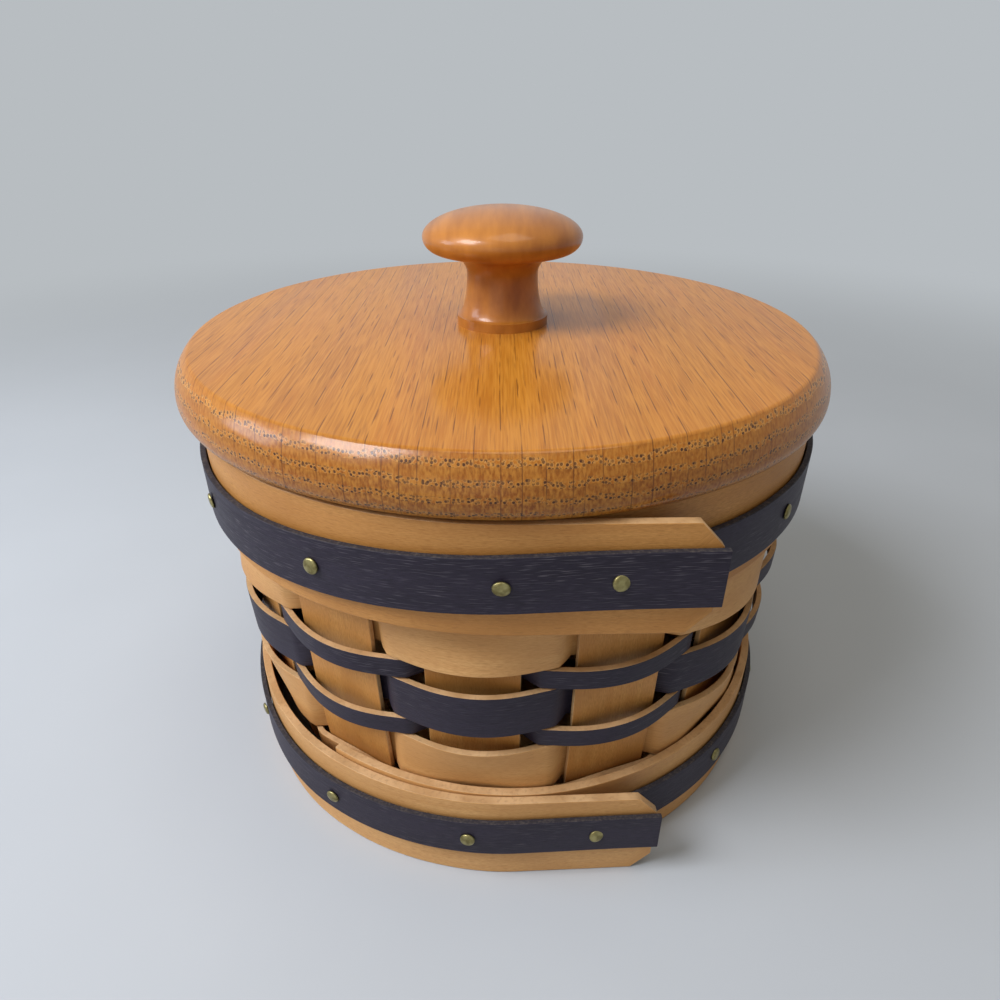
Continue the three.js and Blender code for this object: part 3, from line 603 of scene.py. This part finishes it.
def woven_row_tree(solid):
    """One row of the weave. It runs outside over most of a gap and then dives behind the next upright.
    A held edge lies flat along each upright and a free edge bows past it. A row that lies flat, under
    the basket, weaves up and down instead."""
    measures = dict.fromkeys([
        "Start", "Stop", "Low", "High", "Low Freedom", "High Freedom", "Bow", "Front Side", "Edge Swing",
        "Out From", "Edge Beside", "Edge Stretch", "Lap", "Lap Start", "Lap End"], "Float")
    tree, given = start_tree("woven_row", {
        **measures, "Points Along": "Int", "Points Across": "Int", "Lies Flat": "Bool", **STRIP_SIZES})
    grid = add(tree, "GeometryNodeMeshGrid", {
        "Size X": 1.0, "Size Y": 1.0, "Vertices X": given["Points Along"],
        "Vertices Y": given["Points Across"]})
    place = add(tree, "GeometryNodeInputPosition")
    share = add(tree, "ShaderNodeVectorMath", {0: place, 1: (0.5, 0.5, 0.0)}, operation="ADD")
    shares = add(tree, "ShaderNodeSeparateXYZ", {0: share})
    along, across = shares.outputs["X"], shares.outputs["Y"]
    upright = add(tree, MIX, {0: along, 2: given["Start"], 3: given["Stop"]})
    azimuth = add(tree, MATH, {0: upright, 1: PITCH, 2: FIRST_UPRIGHT}, operation="MULTIPLY_ADD")
    # On a flat row the height is the radius.
    height = add(tree, MIX, {0: across, 2: given["Low"], 3: given["High"]})
    wall_reach, passing = row_reach(tree, given, upright, across, height)
    base_level = add(tree, MATH, {0: passing, 1: BASE_HEIGHT}, operation="ADD")
    reach = add(tree, "GeometryNodeSwitch", {"Switch": given["Lies Flat"], "False": wall_reach,
                                             "True": height}, input_type="FLOAT")
    level = add(tree, "GeometryNodeSwitch", {"Switch": given["Lies Flat"], "False": height,
                                             "True": base_level}, input_type="FLOAT")
    point = row_point(tree, azimuth, reach, level)
    mapped = add(tree, "GeometryNodeStoreNamedAttribute", {
        "Geometry": grid, "Name": "grain", "Value": row_grain(tree, given, azimuth, height)},
        data_type="FLOAT2", domain="CORNER")
    bent = add(tree, "GeometryNodeSetPosition", {"Geometry": mapped, "Position": point})
    welded = add(tree, "GeometryNodeMergeByDistance", {"Geometry": bent, "Distance": WELD})
    finish_strip(tree, given, solid, welded)
    return tree


def tack_head(tree, given):
    """A low dome on a round edge. A root flattens the upper half of a ball and keeps its edge round."""
    ball = add(tree, "GeometryNodeMeshUVSphere", {
        "Segments": TACK_SEGMENTS, "Rings": TACK_RINGS, "Radius": 1.0})
    place = add(tree, "GeometryNodeInputPosition")
    axes = add(tree, "ShaderNodeSeparateXYZ", {0: place})
    upper = add(tree, MATH, {0: axes.outputs["Z"], 1: 0.0}, operation="MAXIMUM")
    dome = add(tree, MATH, {0: upper, 1: TACK_DOME_POWER}, operation="POWER")
    width = add(tree, MATH, {0: axes.outputs["X"], 1: given["Radius"]}, operation="MULTIPLY")
    depth = add(tree, MATH, {0: axes.outputs["Y"], 1: given["Radius"]}, operation="MULTIPLY")
    height = add(tree, MATH, {0: dome, 1: given["Height"]}, operation="MULTIPLY")
    point = add(tree, "ShaderNodeCombineXYZ", {"X": width, "Y": depth, "Z": height})
    return add(tree, "GeometryNodeSetPosition", {"Geometry": ball, "Position": point})


def tack_rotation(tree, given):
    """Turns a head to face outwards, a little askew and turned about itself by chance."""
    facing = add(tree, "GeometryNodeInputNamedAttribute", {"Name": "facing"}, data_type="FLOAT_VECTOR")
    turned = add(tree, "FunctionNodeAlignRotationToVector", {"Vector": facing}, axis="Z")
    against = add(tree, MATH, {0: given["Tilt"], 1: -1.0}, operation="MULTIPLY")
    low = add(tree, "ShaderNodeCombineXYZ", {"X": against, "Y": against, "Z": 0.0})
    high = add(tree, "ShaderNodeCombineXYZ", {"X": given["Tilt"], "Y": given["Tilt"], "Z": math.tau})
    askew = add(tree, "FunctionNodeRandomValue", {0: low, 1: high, "Seed": given["Seed"]},
                data_type="FLOAT_VECTOR")
    lean = add(tree, "FunctionNodeEulerToRotation", {"Euler": askew})
    return add(tree, "FunctionNodeRotateRotation", {"Rotation": turned, "Rotate By": lean},
               rotation_space="LOCAL")


def tack_heads_tree():
    """Low domed heads, one on each point, each driven in a little askew."""
    tree, given = start_tree("tack_heads", {
        "Radius": "Float", "Height": "Float", "Tilt": "Float", "Seed": "Int", "Metal": "Material"})
    heads = add(tree, "GeometryNodeInstanceOnPoints", {
        "Points": given["Geometry"], "Instance": tack_head(tree, given),
        "Rotation": tack_rotation(tree, given)})
    real = add(tree, "GeometryNodeRealizeInstances", {"Geometry": heads})
    welded = add(tree, "GeometryNodeMergeByDistance", {"Geometry": real, "Distance": WELD})
    smooth = add(tree, "GeometryNodeSetShadeSmooth", {"Geometry": welded, "Shade Smooth": True})
    metal = add(tree, "GeometryNodeSetMaterial", {"Geometry": smooth, "Material": given["Metal"]})
    add(tree, "NodeGroupOutput", {"Geometry": metal})
    return tree


def grown(name, tree, values, start=None):
    """Runs a tree on a start mesh and keeps its result as a plain mesh."""
    piece = bpy.data.objects.new(name, start or bpy.data.meshes.new(name))
    bpy.context.scene.collection.objects.link(piece)
    modifier = piece.modifiers.new("shape", "NODES")
    modifier.node_group = tree
    for item in tree.interface.items_tree:
        if item.in_out == "INPUT" and item.name in values:
            modifier[item.identifier] = values[item.name]
    depsgraph = bpy.context.evaluated_depsgraph_get()
    result = bpy.data.meshes.new_from_object(piece.evaluated_get(depsgraph))
    piece.modifiers.clear()
    piece.data = result
    return piece


def finish_piece(piece, body, nodes):
    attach(piece, body)
    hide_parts(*nodes)


def make_strip(name, node, tree, values, sheet=None):
    """A strip of the basket, grown from its sheet where it has one, with soft corners."""
    piece = grown(name, tree, values, sheet)
    bevel = piece.modifiers.new("soft corners", "BEVEL")
    bevel.width = CORNER_SOFTNESS
    bevel.segments = 2
    bevel.limit_method = "ANGLE"
    bevel.angle_limit = CORNER_ANGLE
    bevel.harden_normals = True
    finish_piece(piece, "basket", [node])


# Strips along a path

def mix(low, high, share):
    return low + (high - low) * share


def smoothstep(value, low, high):
    share = min(max((value - low) / (high - low), 0.0), 1.0)
    return share * share * (3 - 2 * share)


def polar(azimuth, radius, height):
    return Vector((radius * math.sin(azimuth), -radius * math.cos(azimuth), height))


def wall_radius(height):
    rise = (height - WALL_FOOT) / (RIM_TOP - WALL_FOOT)
    return mix(FOOT_WALL_RADIUS, RIM_WALL_RADIUS, rise) + 4 * WALL_BELLY * rise * (1 - rise)


def splint_width(distance):
    return max(SPLINT_WAIST, min(SPLINT_WIDTH, SPLINT_WIDTH * distance / FOOT_WALL_RADIUS))


def flat_angle(radius):
    """Half the angle over which a weaver lies flat along one upright."""
    return math.atan((splint_width(radius) / 2 + CROSSING_MARGIN) / radius)


def sheet_mesh(name, sections, shift):
    """A sheet through rows of points, with a grain map in metres along and across the strip."""
    across = len(sections[0])
    points = [point for section in sections for point in section]
    faces = []
    for row in range(len(sections) - 1):
        for column in range(across - 1):
            first = row * across + column
            faces.append((first, first + across, first + across + 1, first + 1))
    mesh = bpy.data.meshes.new(name)
    mesh.from_pydata(points, [], faces)
    travelled = [0.0]
    for before, after in zip(sections, sections[1:]):
        travelled.append(travelled[-1] + (after[across // 2] - before[across // 2]).length)
    grain = mesh.uv_layers.new(name="grain")
    for loop in mesh.loops:
        row, column = divmod(loop.vertex_index, across)
        width = (sections[row][-1] - sections[row][0]).length
        grain.data[loop.index].uv = (travelled[row] + shift, width * column / (across - 1) + shift)
    return mesh


def splint_path(layer_height):
    """Half of a splint's way from the rim to the crossing, as (distance out, height)."""
    innermost = FOOT_WALL_RADIUS - BASE_BEND_RADIUS - BASE_ROW_COUNT * (BASE_ROW_WIDTH + BASE_ROW_GAP)
    ramp_foot = innermost + BASE_ROW_GAP - 2 * LAYER_GAP
    ramp_top = SPLINT_WAIST / (2 * math.tan(PITCH / 2)) + SPLINT_WAIST_MARGIN
    path = []
    for step in range(WALL_STEPS):
        height = mix(UPRIGHT_TOP, WALL_FOOT, step / WALL_STEPS)
        path.append((wall_radius(height), height))
    for step in range(BEND_STEPS + 1):
        turn = math.radians(90) * step / BEND_STEPS
        out = FOOT_WALL_RADIUS - BASE_BEND_RADIUS * (1 - math.cos(turn))
        path.append((out, WALL_FOOT - BASE_BEND_RADIUS * math.sin(turn)))
    for step in range(1, FLAT_STEPS):
        out = mix(FOOT_WALL_RADIUS - BASE_BEND_RADIUS, ramp_foot, step / FLAT_STEPS)
        path.append((out, BASE_HEIGHT))
    for step in range(RAMP_STEPS + 1):
        share = step / RAMP_STEPS
        rise = smoothstep(share, 0, 1)
        path.append((mix(ramp_foot, ramp_top, share), mix(BASE_HEIGHT, layer_height, rise)))
    return path


def make_splint(index, tree, face, edge):
    azimuth = FIRST_UPRIGHT + PITCH * index
    layer_step = SPLINT_THICKNESS + LAYER_GAP
    half = splint_path(BASE_HEIGHT + layer_step * (index - (SPLINT_COUNT - 1) / 2))
    outward = polar(azimuth, 1, 0)
    sideways = polar(azimuth + math.pi / 2, 1, 0)
    sections = []
    for out, height in half + [(-out, height) for out, height in reversed(half)]:
        width = splint_width(abs(out))
        middle = outward * out + Vector((0, 0, height))
        sections.append([middle + sideways * width * (column / SPLINT_COLUMNS - 0.5)
                         for column in range(SPLINT_COLUMNS + 1)])
    name = f"upright_splint_{index + 1}"
    shift = SPLINT_SHIFT * (index + 1)
    make_strip(name, f"splint_{index + 1}", tree, {
        "Thickness": SPLINT_THICKNESS, "Wobble": STRIP_WOBBLE / 2, "Strip": shift, "Face": face,
        "Edge": edge}, sheet_mesh(name, sections, shift))


# Woven rows: node name, name of the piece, dark or not, free edges (low, high), hidden or not
ROWS = [
    ("weaver_1_foot", "foot_row", False, (0, 0), True),
    ("weaver_2_natural", "lower_natural_row", False, (0, 1), False),
    ("weaver_3_navy_narrow", "lower_narrow_row", True, (1, 1), False),
    ("weaver_4_navy_wide", "wide_middle_row", True, (1, 1), False),
    ("weaver_5_navy_narrow", "upper_narrow_row", True, (1, 1), False),
    ("weaver_6_natural", "upper_natural_row", False, (1, 0), False),
    ("weaver_7_rim", "rim_row", False, (0, 0), True),
]


def weave_sizes(angle, dives_late):
    """How a row crosses uprights that it lies flat on over this angle to each side: the share of a
    pitch that it lies flat over, and its tree's inputs."""
    flat_share = angle / PITCH
    edge_swing = math.cos(math.pi * flat_share)
    return flat_share, {
        "Edge Swing": edge_swing, "Out From": -DIVE_START * edge_swing if dives_late else edge_swing,
        "Edge Beside": 1 - edge_swing ** 2, "Edge Stretch": 1 / math.cos(angle)}


def make_wall_rows(tree, natural, navy, edge):
    for index, (node, name, dark, free, hidden) in enumerate(ROWS):
        low, high = (corner.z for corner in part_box(node))
        flat_share, crossing = weave_sizes(flat_angle(wall_radius((low + high) / 2)), not hidden)
        front = 1.0 if index % 2 else -1.0
        first = SPLINT_COUNT if front > 0 else SPLINT_COUNT + 1
        start, stop = 0.0, float(UPRIGHT_COUNT)
        if not hidden:
            start, stop = first - flat_share, first + UPRIGHT_COUNT + flat_share
        slot, face = ("navy_splint", navy) if dark else ("natural_splint", natural)
        make_strip(name, node, tree, {
            "Start": start, "Stop": stop, "Points Along": round((stop - start) * STEPS_PER_UPRIGHT) + 1,
            "Points Across": ROW_POINTS, "Low": low, "High": high, "Low Freedom": float(free[0]),
            "High Freedom": float(free[1]), "Bow": WEAVER_BOW, "Front Side": front, **crossing,
            "Lap": 0.0 if hidden else LAP_STEP, "Lap Start": stop - 1, "Lap End": stop - 2 * flat_share,
            "Lies Flat": False, "Thickness": WEAVER_THICKNESS, "Wobble": STRIP_WOBBLE,
            "Strip": ROW_SHIFT * (index + 1), "Face": face, "Edge": edge})


def make_base_rows(tree, natural, edge):
    outermost = FOOT_WALL_RADIUS - BASE_BEND_RADIUS - LAYER_GAP - BASE_ROW_WIDTH / 2
    for index in range(BASE_ROW_COUNT):
        radius = outermost - (BASE_ROW_WIDTH + BASE_ROW_GAP) * (BASE_ROW_COUNT - 1 - index)
        crossing = weave_sizes(flat_angle(radius), False)[1]
        make_strip(f"base_row_{index + 1}", f"base_weaver_{index + 1}", tree, {
            "Start": 0.0, "Stop": float(UPRIGHT_COUNT),
            "Points Along": UPRIGHT_COUNT * STEPS_PER_UPRIGHT + 1, "Points Across": BASE_ROW_POINTS,
            "Low": radius - BASE_ROW_WIDTH / 2, "High": radius + BASE_ROW_WIDTH / 2,
            "Low Freedom": 0.0, "High Freedom": 0.0, "Bow": 0.0, "Front Side": -1.0 if index % 2 else 1.0,
            **crossing, "Lap": 0.0, "Lap Start": 0.0, "Lap End": 1.0, "Lies Flat": True,
            "Thickness": WEAVER_THICKNESS, "Wobble": STRIP_WOBBLE / 2,
            "Strip": BASE_ROW_SHIFT * (index + 1), "Face": natural, "Edge": edge})


# Bands

def band_seat(height):
    """Inside of a band that is pulled tight over the weave at a height."""
    flat = wall_radius(height) + WEAVE_OFFSET + WEAVER_THICKNESS / 2
    return flat / math.cos(flat_angle(wall_radius(height))) + BAND_CLEARANCE


def band_plan(name, low, high, seat, lift, end, trim_low, trim_width, trim_climb, start_rise):
    """Where a band runs. It lifts off the basket and ends these many degrees past the front."""
    return {"name": name, "radius": band_seat(seat), "low": low, "width": high - low,
            "lift": math.radians(360 + lift), "end": math.radians(360 + end),
            "trim_low": trim_low, "trim_width": trim_width, "trim_climb": trim_climb,
            "start_rise": start_rise}


RIM_BAND_LOW = RIM_TOP - RIM_BAND_WIDTH
RIM_BAND = band_plan(
    "rim", low=RIM_BAND_LOW, high=RIM_TOP, seat=RIM_BAND_LOW, lift=1.5, end=26.1,
    trim_low=RIM_BAND_LOW + 3.9 * MM, trim_width=12.1 * MM, trim_climb=3.2 * MM, start_rise=0.0)
FOOT_BAND = band_plan(
    "foot", low=STRIP_WOBBLE / 2, high=FOOT_BAND_WIDTH, seat=FOOT_BAND_WIDTH, lift=2.6, end=25,
    trim_low=8.2 * MM, trim_width=10.6 * MM, trim_climb=1.6 * MM, start_rise=FOOT_START_RISE)


def band_radius(band, azimuth, offset):
    """Middle of a strip of a band. The band steps out over its own start, and past its lift it springs
    straight off the basket, along the tangent."""
    lap_start = BAND_START + math.tau
    lap = smoothstep(azimuth, lap_start - BAND_STEP_OUT, lap_start - BAND_STEP_END)
    past = max(azimuth - band["lift"], 0.0)
    return (band["radius"] + offset + lap * (BAND_THICKNESS + LAP_CLEARANCE)) / math.cos(past)


def upright_points(azimuth, radius, bottom, top):
    """One row of points, straight up across a band."""
    return [polar(azimuth, radius, mix(bottom, top, column / BAND_COLUMNS))
            for column in range(BAND_COLUMNS + 1)]


def band_sections(band, start, offset, low, width, climb, clip_length, clip_height):
    """Rows of points across a band or its trim, from its start to its end, clipped or straight."""
    middle = band_radius(band, band["lift"], offset)
    reach = math.tan(band["end"] - band["lift"]) - clip_length / middle
    clip_start = band["lift"] + math.atan(reach)
    azimuths = [mix(start, band["lift"], step / BAND_STEPS) for step in range(BAND_STEPS + 1)]
    for step in range(1, SPRUNG_STEPS + 1):
        azimuths.append(mix(band["lift"], clip_start, step / SPRUNG_STEPS))
    stops = [(azimuth, 0.0) for azimuth in azimuths]
    if clip_length:
        stops.append((band["end"], clip_height))
    sections = []
    for azimuth, cut in stops:
        rise_end = BAND_START + FOOT_START_RISE_ANGLE
        rise = band["start_rise"] * (1 - smoothstep(azimuth, BAND_START, rise_end))
        rise += climb * smoothstep(azimuth, band["end"] - TRIM_CLIMB_ANGLE, band["end"])
        bottom = low + rise + cut
        top = low + rise + width - cut
        radius = band_radius(band, azimuth, offset)
        sections.append(upright_points(azimuth, radius, bottom, top))
    return sections


def make_band(band, tree, natural, navy, edge, stained_edge):
    name = band["name"]
    strips = [
        (f"{name}_outer_band", f"{name}_band", natural, edge, "natural_splint", BAND_THICKNESS,
         band_sections(band, BAND_START, BAND_THICKNESS / 2, band["low"], band["width"], 0.0,
                       CLIP_LENGTH, CLIP_HEIGHT)),
        (f"{name}_trim_strip", f"{name}_trim", navy, stained_edge, "navy_splint", TRIM_THICKNESS,
         band_sections(band, TRIM_START, BAND_THICKNESS + BAND_CLEARANCE + TRIM_THICKNESS / 2,
                       band["trim_low"], band["trim_width"], band["trim_climb"], 0.0, 0.0)),
    ]
    for piece_name, node, face, cut, slot, thickness, sections in strips:
        shift = BAND_SHIFT + len(piece_name) * BAND_NAME_SHIFT
        make_strip(piece_name, node, tree, {
            "Thickness": thickness, "Wobble": STRIP_WOBBLE, "Strip": shift, "Face": face, "Edge": cut},
                   sheet_mesh(piece_name, sections, shift))


def make_inner_hoop(tree, natural, edge):
    low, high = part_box("rim_band_inner")
    radius = high.x - HOOP_THICKNESS / 2
    sections = []
    for step in range(TURNED_SEGMENTS + 1):
        azimuth = math.tau * step / TURNED_SEGMENTS
        sections.append(upright_points(azimuth, radius, low.z, high.z))
    mesh = sheet_mesh("inner_hoop", sections, HOOP_SHIFT)
    seam = bmesh.new()
    seam.from_mesh(mesh)
    bmesh.ops.remove_doubles(seam, verts=seam.verts, dist=WELD)
    seam.to_mesh(mesh)
    seam.free()
    make_strip("inner_hoop", "rim_band_inner", tree, {
        "Thickness": HOOP_THICKNESS, "Wobble": STRIP_WOBBLE / 2, "Strip": HOOP_SHIFT, "Face": natural,
        "Edge": edge}, mesh)


# Tacks

def tack_seat(node):
    """Middle of a tack's underside, and the way it faces, from its solid."""
    points = [vertex.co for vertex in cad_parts[node].data.vertices]
    middle = sum(points, Vector()) / len(points)
    outward = Vector((middle.x, middle.y, 0)).normalized()
    low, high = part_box(node)
    centre = (low + high) / 2
    facing = Vector((centre.x, centre.y, 0)).normalized()
    reach = min(point.dot(outward) for point in points)
    return centre + facing * (reach - centre.dot(outward)), facing


def make_tacks(name, tree, metal, seed):
    nodes = sorted(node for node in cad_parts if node.startswith(f"{name}_tack_"))
    seats = [tack_seat(node) for node in nodes]
    mesh = bpy.data.meshes.new(f"{name}_tacks")
    mesh.from_pydata([seat for seat, facing in seats], [], [])
    facings = mesh.attributes.new("facing", "FLOAT_VECTOR", "POINT")
    for index, (seat, facing) in enumerate(seats):
        facings.data[index].vector = facing
    piece = grown(f"{name}_tack_heads", tree, {
        "Radius": TACK_RADIUS, "Height": TACK_HEIGHT, "Tilt": TACK_TILT, "Seed": seed, "Metal": metal},
                  mesh)
    finish_piece(piece, "basket", nodes)


# Turned pieces

def arc(centre, width, height, start, stop, steps=ARC_STEPS):
    points = []
    for step in range(steps + 1):
        turn = mix(start, stop, step / steps)
        points.append((centre[0] + width * math.cos(turn), centre[1] + height * math.sin(turn)))
    return points


def turned(name, profile, centre, material):
    """Turns a closed profile about an upright axis; a point on the axis becomes one pole."""
    lathe = bmesh.new()
    rings = []
    for radius, height in profile:
        count = 1 if radius < AXIS_REACH else TURNED_SEGMENTS
        rings.append([lathe.verts.new(centre + polar(math.tau * step / TURNED_SEGMENTS, radius, height))
                      for step in range(count)])
    for ring, following in zip(rings, rings[1:] + rings[:1]):
        if len(ring) == 1 and len(following) == 1:
            continue
        for step in range(TURNED_SEGMENTS):
            after = (step + 1) % TURNED_SEGMENTS
            corners = [ring[step % len(ring)], ring[after % len(ring)],
                       following[after % len(following)], following[step % len(following)]]
            lathe.faces.new(list(dict.fromkeys(corners)))
    bmesh.ops.recalc_face_normals(lathe, faces=lathe.faces)
    mesh = bpy.data.meshes.new(name)
    lathe.to_mesh(mesh)
    lathe.free()
    mesh.shade_smooth()
    mesh.set_sharp_from_angle(angle=SHARP_ANGLE)
    mesh.materials.append(material)
    piece = bpy.data.objects.new(name, mesh)
    bpy.context.scene.collection.objects.link(piece)
    return piece


def lid_centre(height):
    low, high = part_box("lid_board")
    return Vector(((low.x + high.x) / 2, (low.y + high.y) / 2, height))


def make_lid(material):
    hoop_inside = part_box("rim_band_inner")[1].x - HOOP_THICKNESS - HOOP_FACET_DEPTH
    plug_radius = hoop_inside - LID_PLUG_CLEARANCE
    edge_centre = (LID_TOP_RADIUS - LID_EDGE_RADIUS * math.cos(LID_EDGE_START),
                   LID_THICKNESS - LID_EDGE_RADIUS * math.sin(LID_EDGE_START))
    under_centre = (edge_centre[0] + LID_EDGE_RADIUS - LID_UNDER_EDGE_WIDTH, edge_centre[1])
    crease_turn = math.radians(90) - LID_EDGE_START
    crease_run = LID_CREASE_RADIUS * math.tan(crease_turn / 2)
    crease_centre = (LID_TOP_RADIUS - crease_run, LID_THICKNESS - LID_CREASE_RADIUS)
    profile = [
        (SCREW_HOLE_RADIUS, SCREW_HEAD_DEPTH - LID_PLUG_DEPTH),
        (SCREW_RECESS_RADIUS, -LID_PLUG_DEPTH),
        (plug_radius - LID_PLUG_CHAMFER, -LID_PLUG_DEPTH),
        (plug_radius, LID_PLUG_CHAMFER - LID_PLUG_DEPTH),
        (plug_radius, 0.0),
        *arc(under_centre, LID_UNDER_EDGE_WIDTH, edge_centre[1], -math.pi / 2, 0),
        *arc(edge_centre, LID_EDGE_RADIUS, LID_EDGE_RADIUS, 0, LID_EDGE_START)[1:-1],
        *arc(crease_centre, LID_CREASE_RADIUS, LID_CREASE_RADIUS, LID_EDGE_START, math.pi / 2,
             LID_CREASE_STEPS),
        (SCREW_HOLE_RADIUS, LID_THICKNESS),
    ]
    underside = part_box("lid_board")[1].z - LID_THICKNESS
    piece = turned("lid_board_turning", profile, lid_centre(underside), material)
    finish_piece(piece, "lid", ["lid_board"])


def make_knob(material):
    low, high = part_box("lid_knob")
    height = high.z - low.z
    foot_centre = (KNOB_FOOT_RADIUS, KNOB_NECK_HEIGHT)
    throat_centre = (KNOB_CAP_RADIUS - KNOB_CAP_LIP_WIDTH, KNOB_NECK_HEIGHT)
    lip_centre = (throat_centre[0], KNOB_CAP_WIDEST)
    profile = [
        (0.0, KNOB_BORE_DEPTH),
        (SCREW_HOLE_RADIUS, KNOB_BORE_DEPTH),
        (SCREW_HOLE_RADIUS, 0.0),
        (KNOB_FOOT_RADIUS, 0.0),
        *arc(foot_centre, KNOB_FOOT_RADIUS - KNOB_NECK_RADIUS, KNOB_NECK_HEIGHT - KNOB_FOOT_LIP,
             math.radians(270), math.radians(180)),
        *arc(throat_centre, throat_centre[0] - KNOB_NECK_RADIUS, KNOB_CAP_LIP_HEIGHT - KNOB_NECK_HEIGHT,
             math.radians(180), math.radians(90))[1:],
        *arc(lip_centre, KNOB_CAP_LIP_WIDTH, KNOB_CAP_WIDEST - KNOB_CAP_LIP_HEIGHT,
             math.radians(-90), 0)[1:],
        *arc((0.0, KNOB_CAP_WIDEST), KNOB_CAP_RADIUS, height - KNOB_CAP_WIDEST, 0, math.radians(90),
             KNOB_CAP_STEPS)[1:-1],
        (0.0, height),
    ]
    piece = turned("knob_turning", profile, lid_centre(low.z), material)
    finish_piece(piece, "lid", ["lid_knob"])


# Floor, light and camera

def make_floor():
    """A pale floor. Away from the basket it turns into the backdrop's colour, so no horizon shows."""
    mesh = bpy.data.meshes.new("floor")
    corners = [(x * FLOOR_REACH, y * FLOOR_REACH, 0) for x, y in ((-1, -1), (1, -1), (1, 1), (-1, 1))]
    mesh.from_pydata(corners, [], [(0, 1, 2, 3)])
    floor = bpy.data.objects.new("floor", mesh)
    bpy.context.scene.collection.objects.link(floor)
    material, tree = start_material("matt_pale_board")
    place = add(tree, "ShaderNodeTexCoord").outputs["Object"]
    mottle = add(tree, NOISE, {"Vector": place, "Scale": FLOOR_PATCHES_PER_METRE, "Detail": 4.0})
    colour = add(tree, MIX, {0: mottle, COLOR_A: linear("#B5BBC0"),
                             COLOR_B: linear("#BFC5CA")}, data_type="RGBA")
    board = add(tree, "ShaderNodeBsdfPrincipled", {"Base Color": colour.outputs[COLOR_OUT],
                                                   "Roughness": 0.9, "Specular IOR Level": 0.2})
    backdrop = add(tree, "ShaderNodeEmission", {"Color": linear(BACKDROP), "Strength": 1.0})
    distance = add(tree, "ShaderNodeVectorMath", {0: place}, operation="LENGTH")
    far = add(tree, RANGE, {"Value": distance.outputs["Value"], "From Min": FLOOR_FADE_START,
                            "From Max": FLOOR_FADE_END}, interpolation_type="SMOOTHSTEP")
    seen = seen_rays(tree)
    share = add(tree, MATH, {0: far, 1: seen}, operation="MULTIPLY")
    faded = add(tree, "ShaderNodeMixShader", {0: share, 1: board, 2: backdrop})
    add(tree, "ShaderNodeOutputMaterial", {"Surface": faded})
    mesh.materials.append(material)


def seen_rays(tree):
    """1 for what the camera sees, straight or in a mirror, and 0 for light that is on its way."""
    rays = add(tree, "ShaderNodeLightPath")
    mirrored = add(tree, MATH, {0: rays.outputs["Is Glossy Ray"], 1: rays.outputs["Is Transmission Ray"]},
                   operation="MAXIMUM")
    return add(tree, MATH, {0: rays.outputs["Is Camera Ray"], 1: mirrored}, operation="MAXIMUM")


def make_lights():
    world = bpy.data.worlds.new("pale_room")
    bpy.context.scene.world = world
    world.use_nodes = True
    tree = world.node_tree
    tree.nodes.clear()
    ambient = add(tree, "ShaderNodeBackground", {"Color": linear(AMBIENT_COLOUR),
                                                 "Strength": AMBIENT_POWER})
    backdrop = add(tree, "ShaderNodeBackground", {"Color": linear(BACKDROP), "Strength": 1.0})
    mixed = add(tree, "ShaderNodeMixShader", {0: seen_rays(tree), 1: ambient, 2: backdrop})
    add(tree, "ShaderNodeOutputWorld", {"Surface": mixed})
    # Name, place, size, power and colour
    lamps = [
        ("window", (-0.42, -0.23, 0.62), 0.28, 4.4, "#F2F1F5"),
        ("window_sky", (-0.5, -0.24, 0.6), 0.5, 1.0, "#DCE8FF"),
        ("ceiling", (0.08, -0.08, 0.85), 0.4, 1.2, "#FFF6EA"),
        ("left_glow", (-0.8, -0.05, 0.4), 0.3, 1.8, "#E6EEFF"),
        ("back_glow", (-0.2, 0.9, 0.7), 0.9, 0.4, "#F4F6FF"),
        ("room_glow", (-0.3, -0.8, 0.12), 0.7, 0.85, "#FFF4E6"),
    ]
    for name, position, size, power, colour in lamps:
        lamp = bpy.data.lights.new(name, "AREA")
        lamp.size = size
        lamp.energy = power
        lamp.color = linear(colour)[:3]
        holder = bpy.data.objects.new(name, lamp)
        holder.location = position
        aim = Vector(LAMP_AIM) - Vector(position)
        holder.rotation_euler = aim.to_track_quat("-Z", "Y").to_euler()
        bpy.context.scene.collection.objects.link(holder)


def make_camera():
    camera = bpy.data.cameras.new("camera")
    camera.sensor_width = CAMERA_SENSOR
    camera.lens = CAMERA_LENS
    camera.clip_start = CAMERA_CLIP
    holder = bpy.data.objects.new("camera", camera)
    holder.location = CAMERA_PLACE
    holder.rotation_euler = (CAMERA_TILT, 0, 0)
    bpy.context.scene.collection.objects.link(holder)
    bpy.context.scene.camera = holder


make_camera()
natural = maple_row()
# painted shade: the uprights and the rim band take a darker, more orange copy of the rows' maple
shade_painted_maple = painted_shade_maple()
navy = navy_maple()
edge = sawn_edge()
stained_edge = dyed_edge()
plated = brass()

solid_tree = splint_solid_tree()
strip_tree = cut_splint_tree(solid_tree)
row_tree = woven_row_tree(solid_tree)
tack_tree = tack_heads_tree()

for splint in range(SPLINT_COUNT):
    make_splint(splint, strip_tree, shade_painted_maple, edge)
make_wall_rows(row_tree, natural, navy, edge)
make_base_rows(row_tree, natural, edge)
make_band(RIM_BAND, strip_tree, shade_painted_maple, navy, edge, stained_edge)
make_band(FOOT_BAND, strip_tree, natural, navy, edge, stained_edge)
make_inner_hoop(strip_tree, natural, edge)
make_tacks("rim", tack_tree, plated, seed=5)
make_tacks("foot", tack_tree, plated, seed=11)
make_lid(oak())
make_knob(turned_oak())
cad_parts["knob_screw"].material_slots[0].material = zinc_steel()
make_floor()
make_lights()
bpy.context.scene.view_settings.view_transform = "Standard"
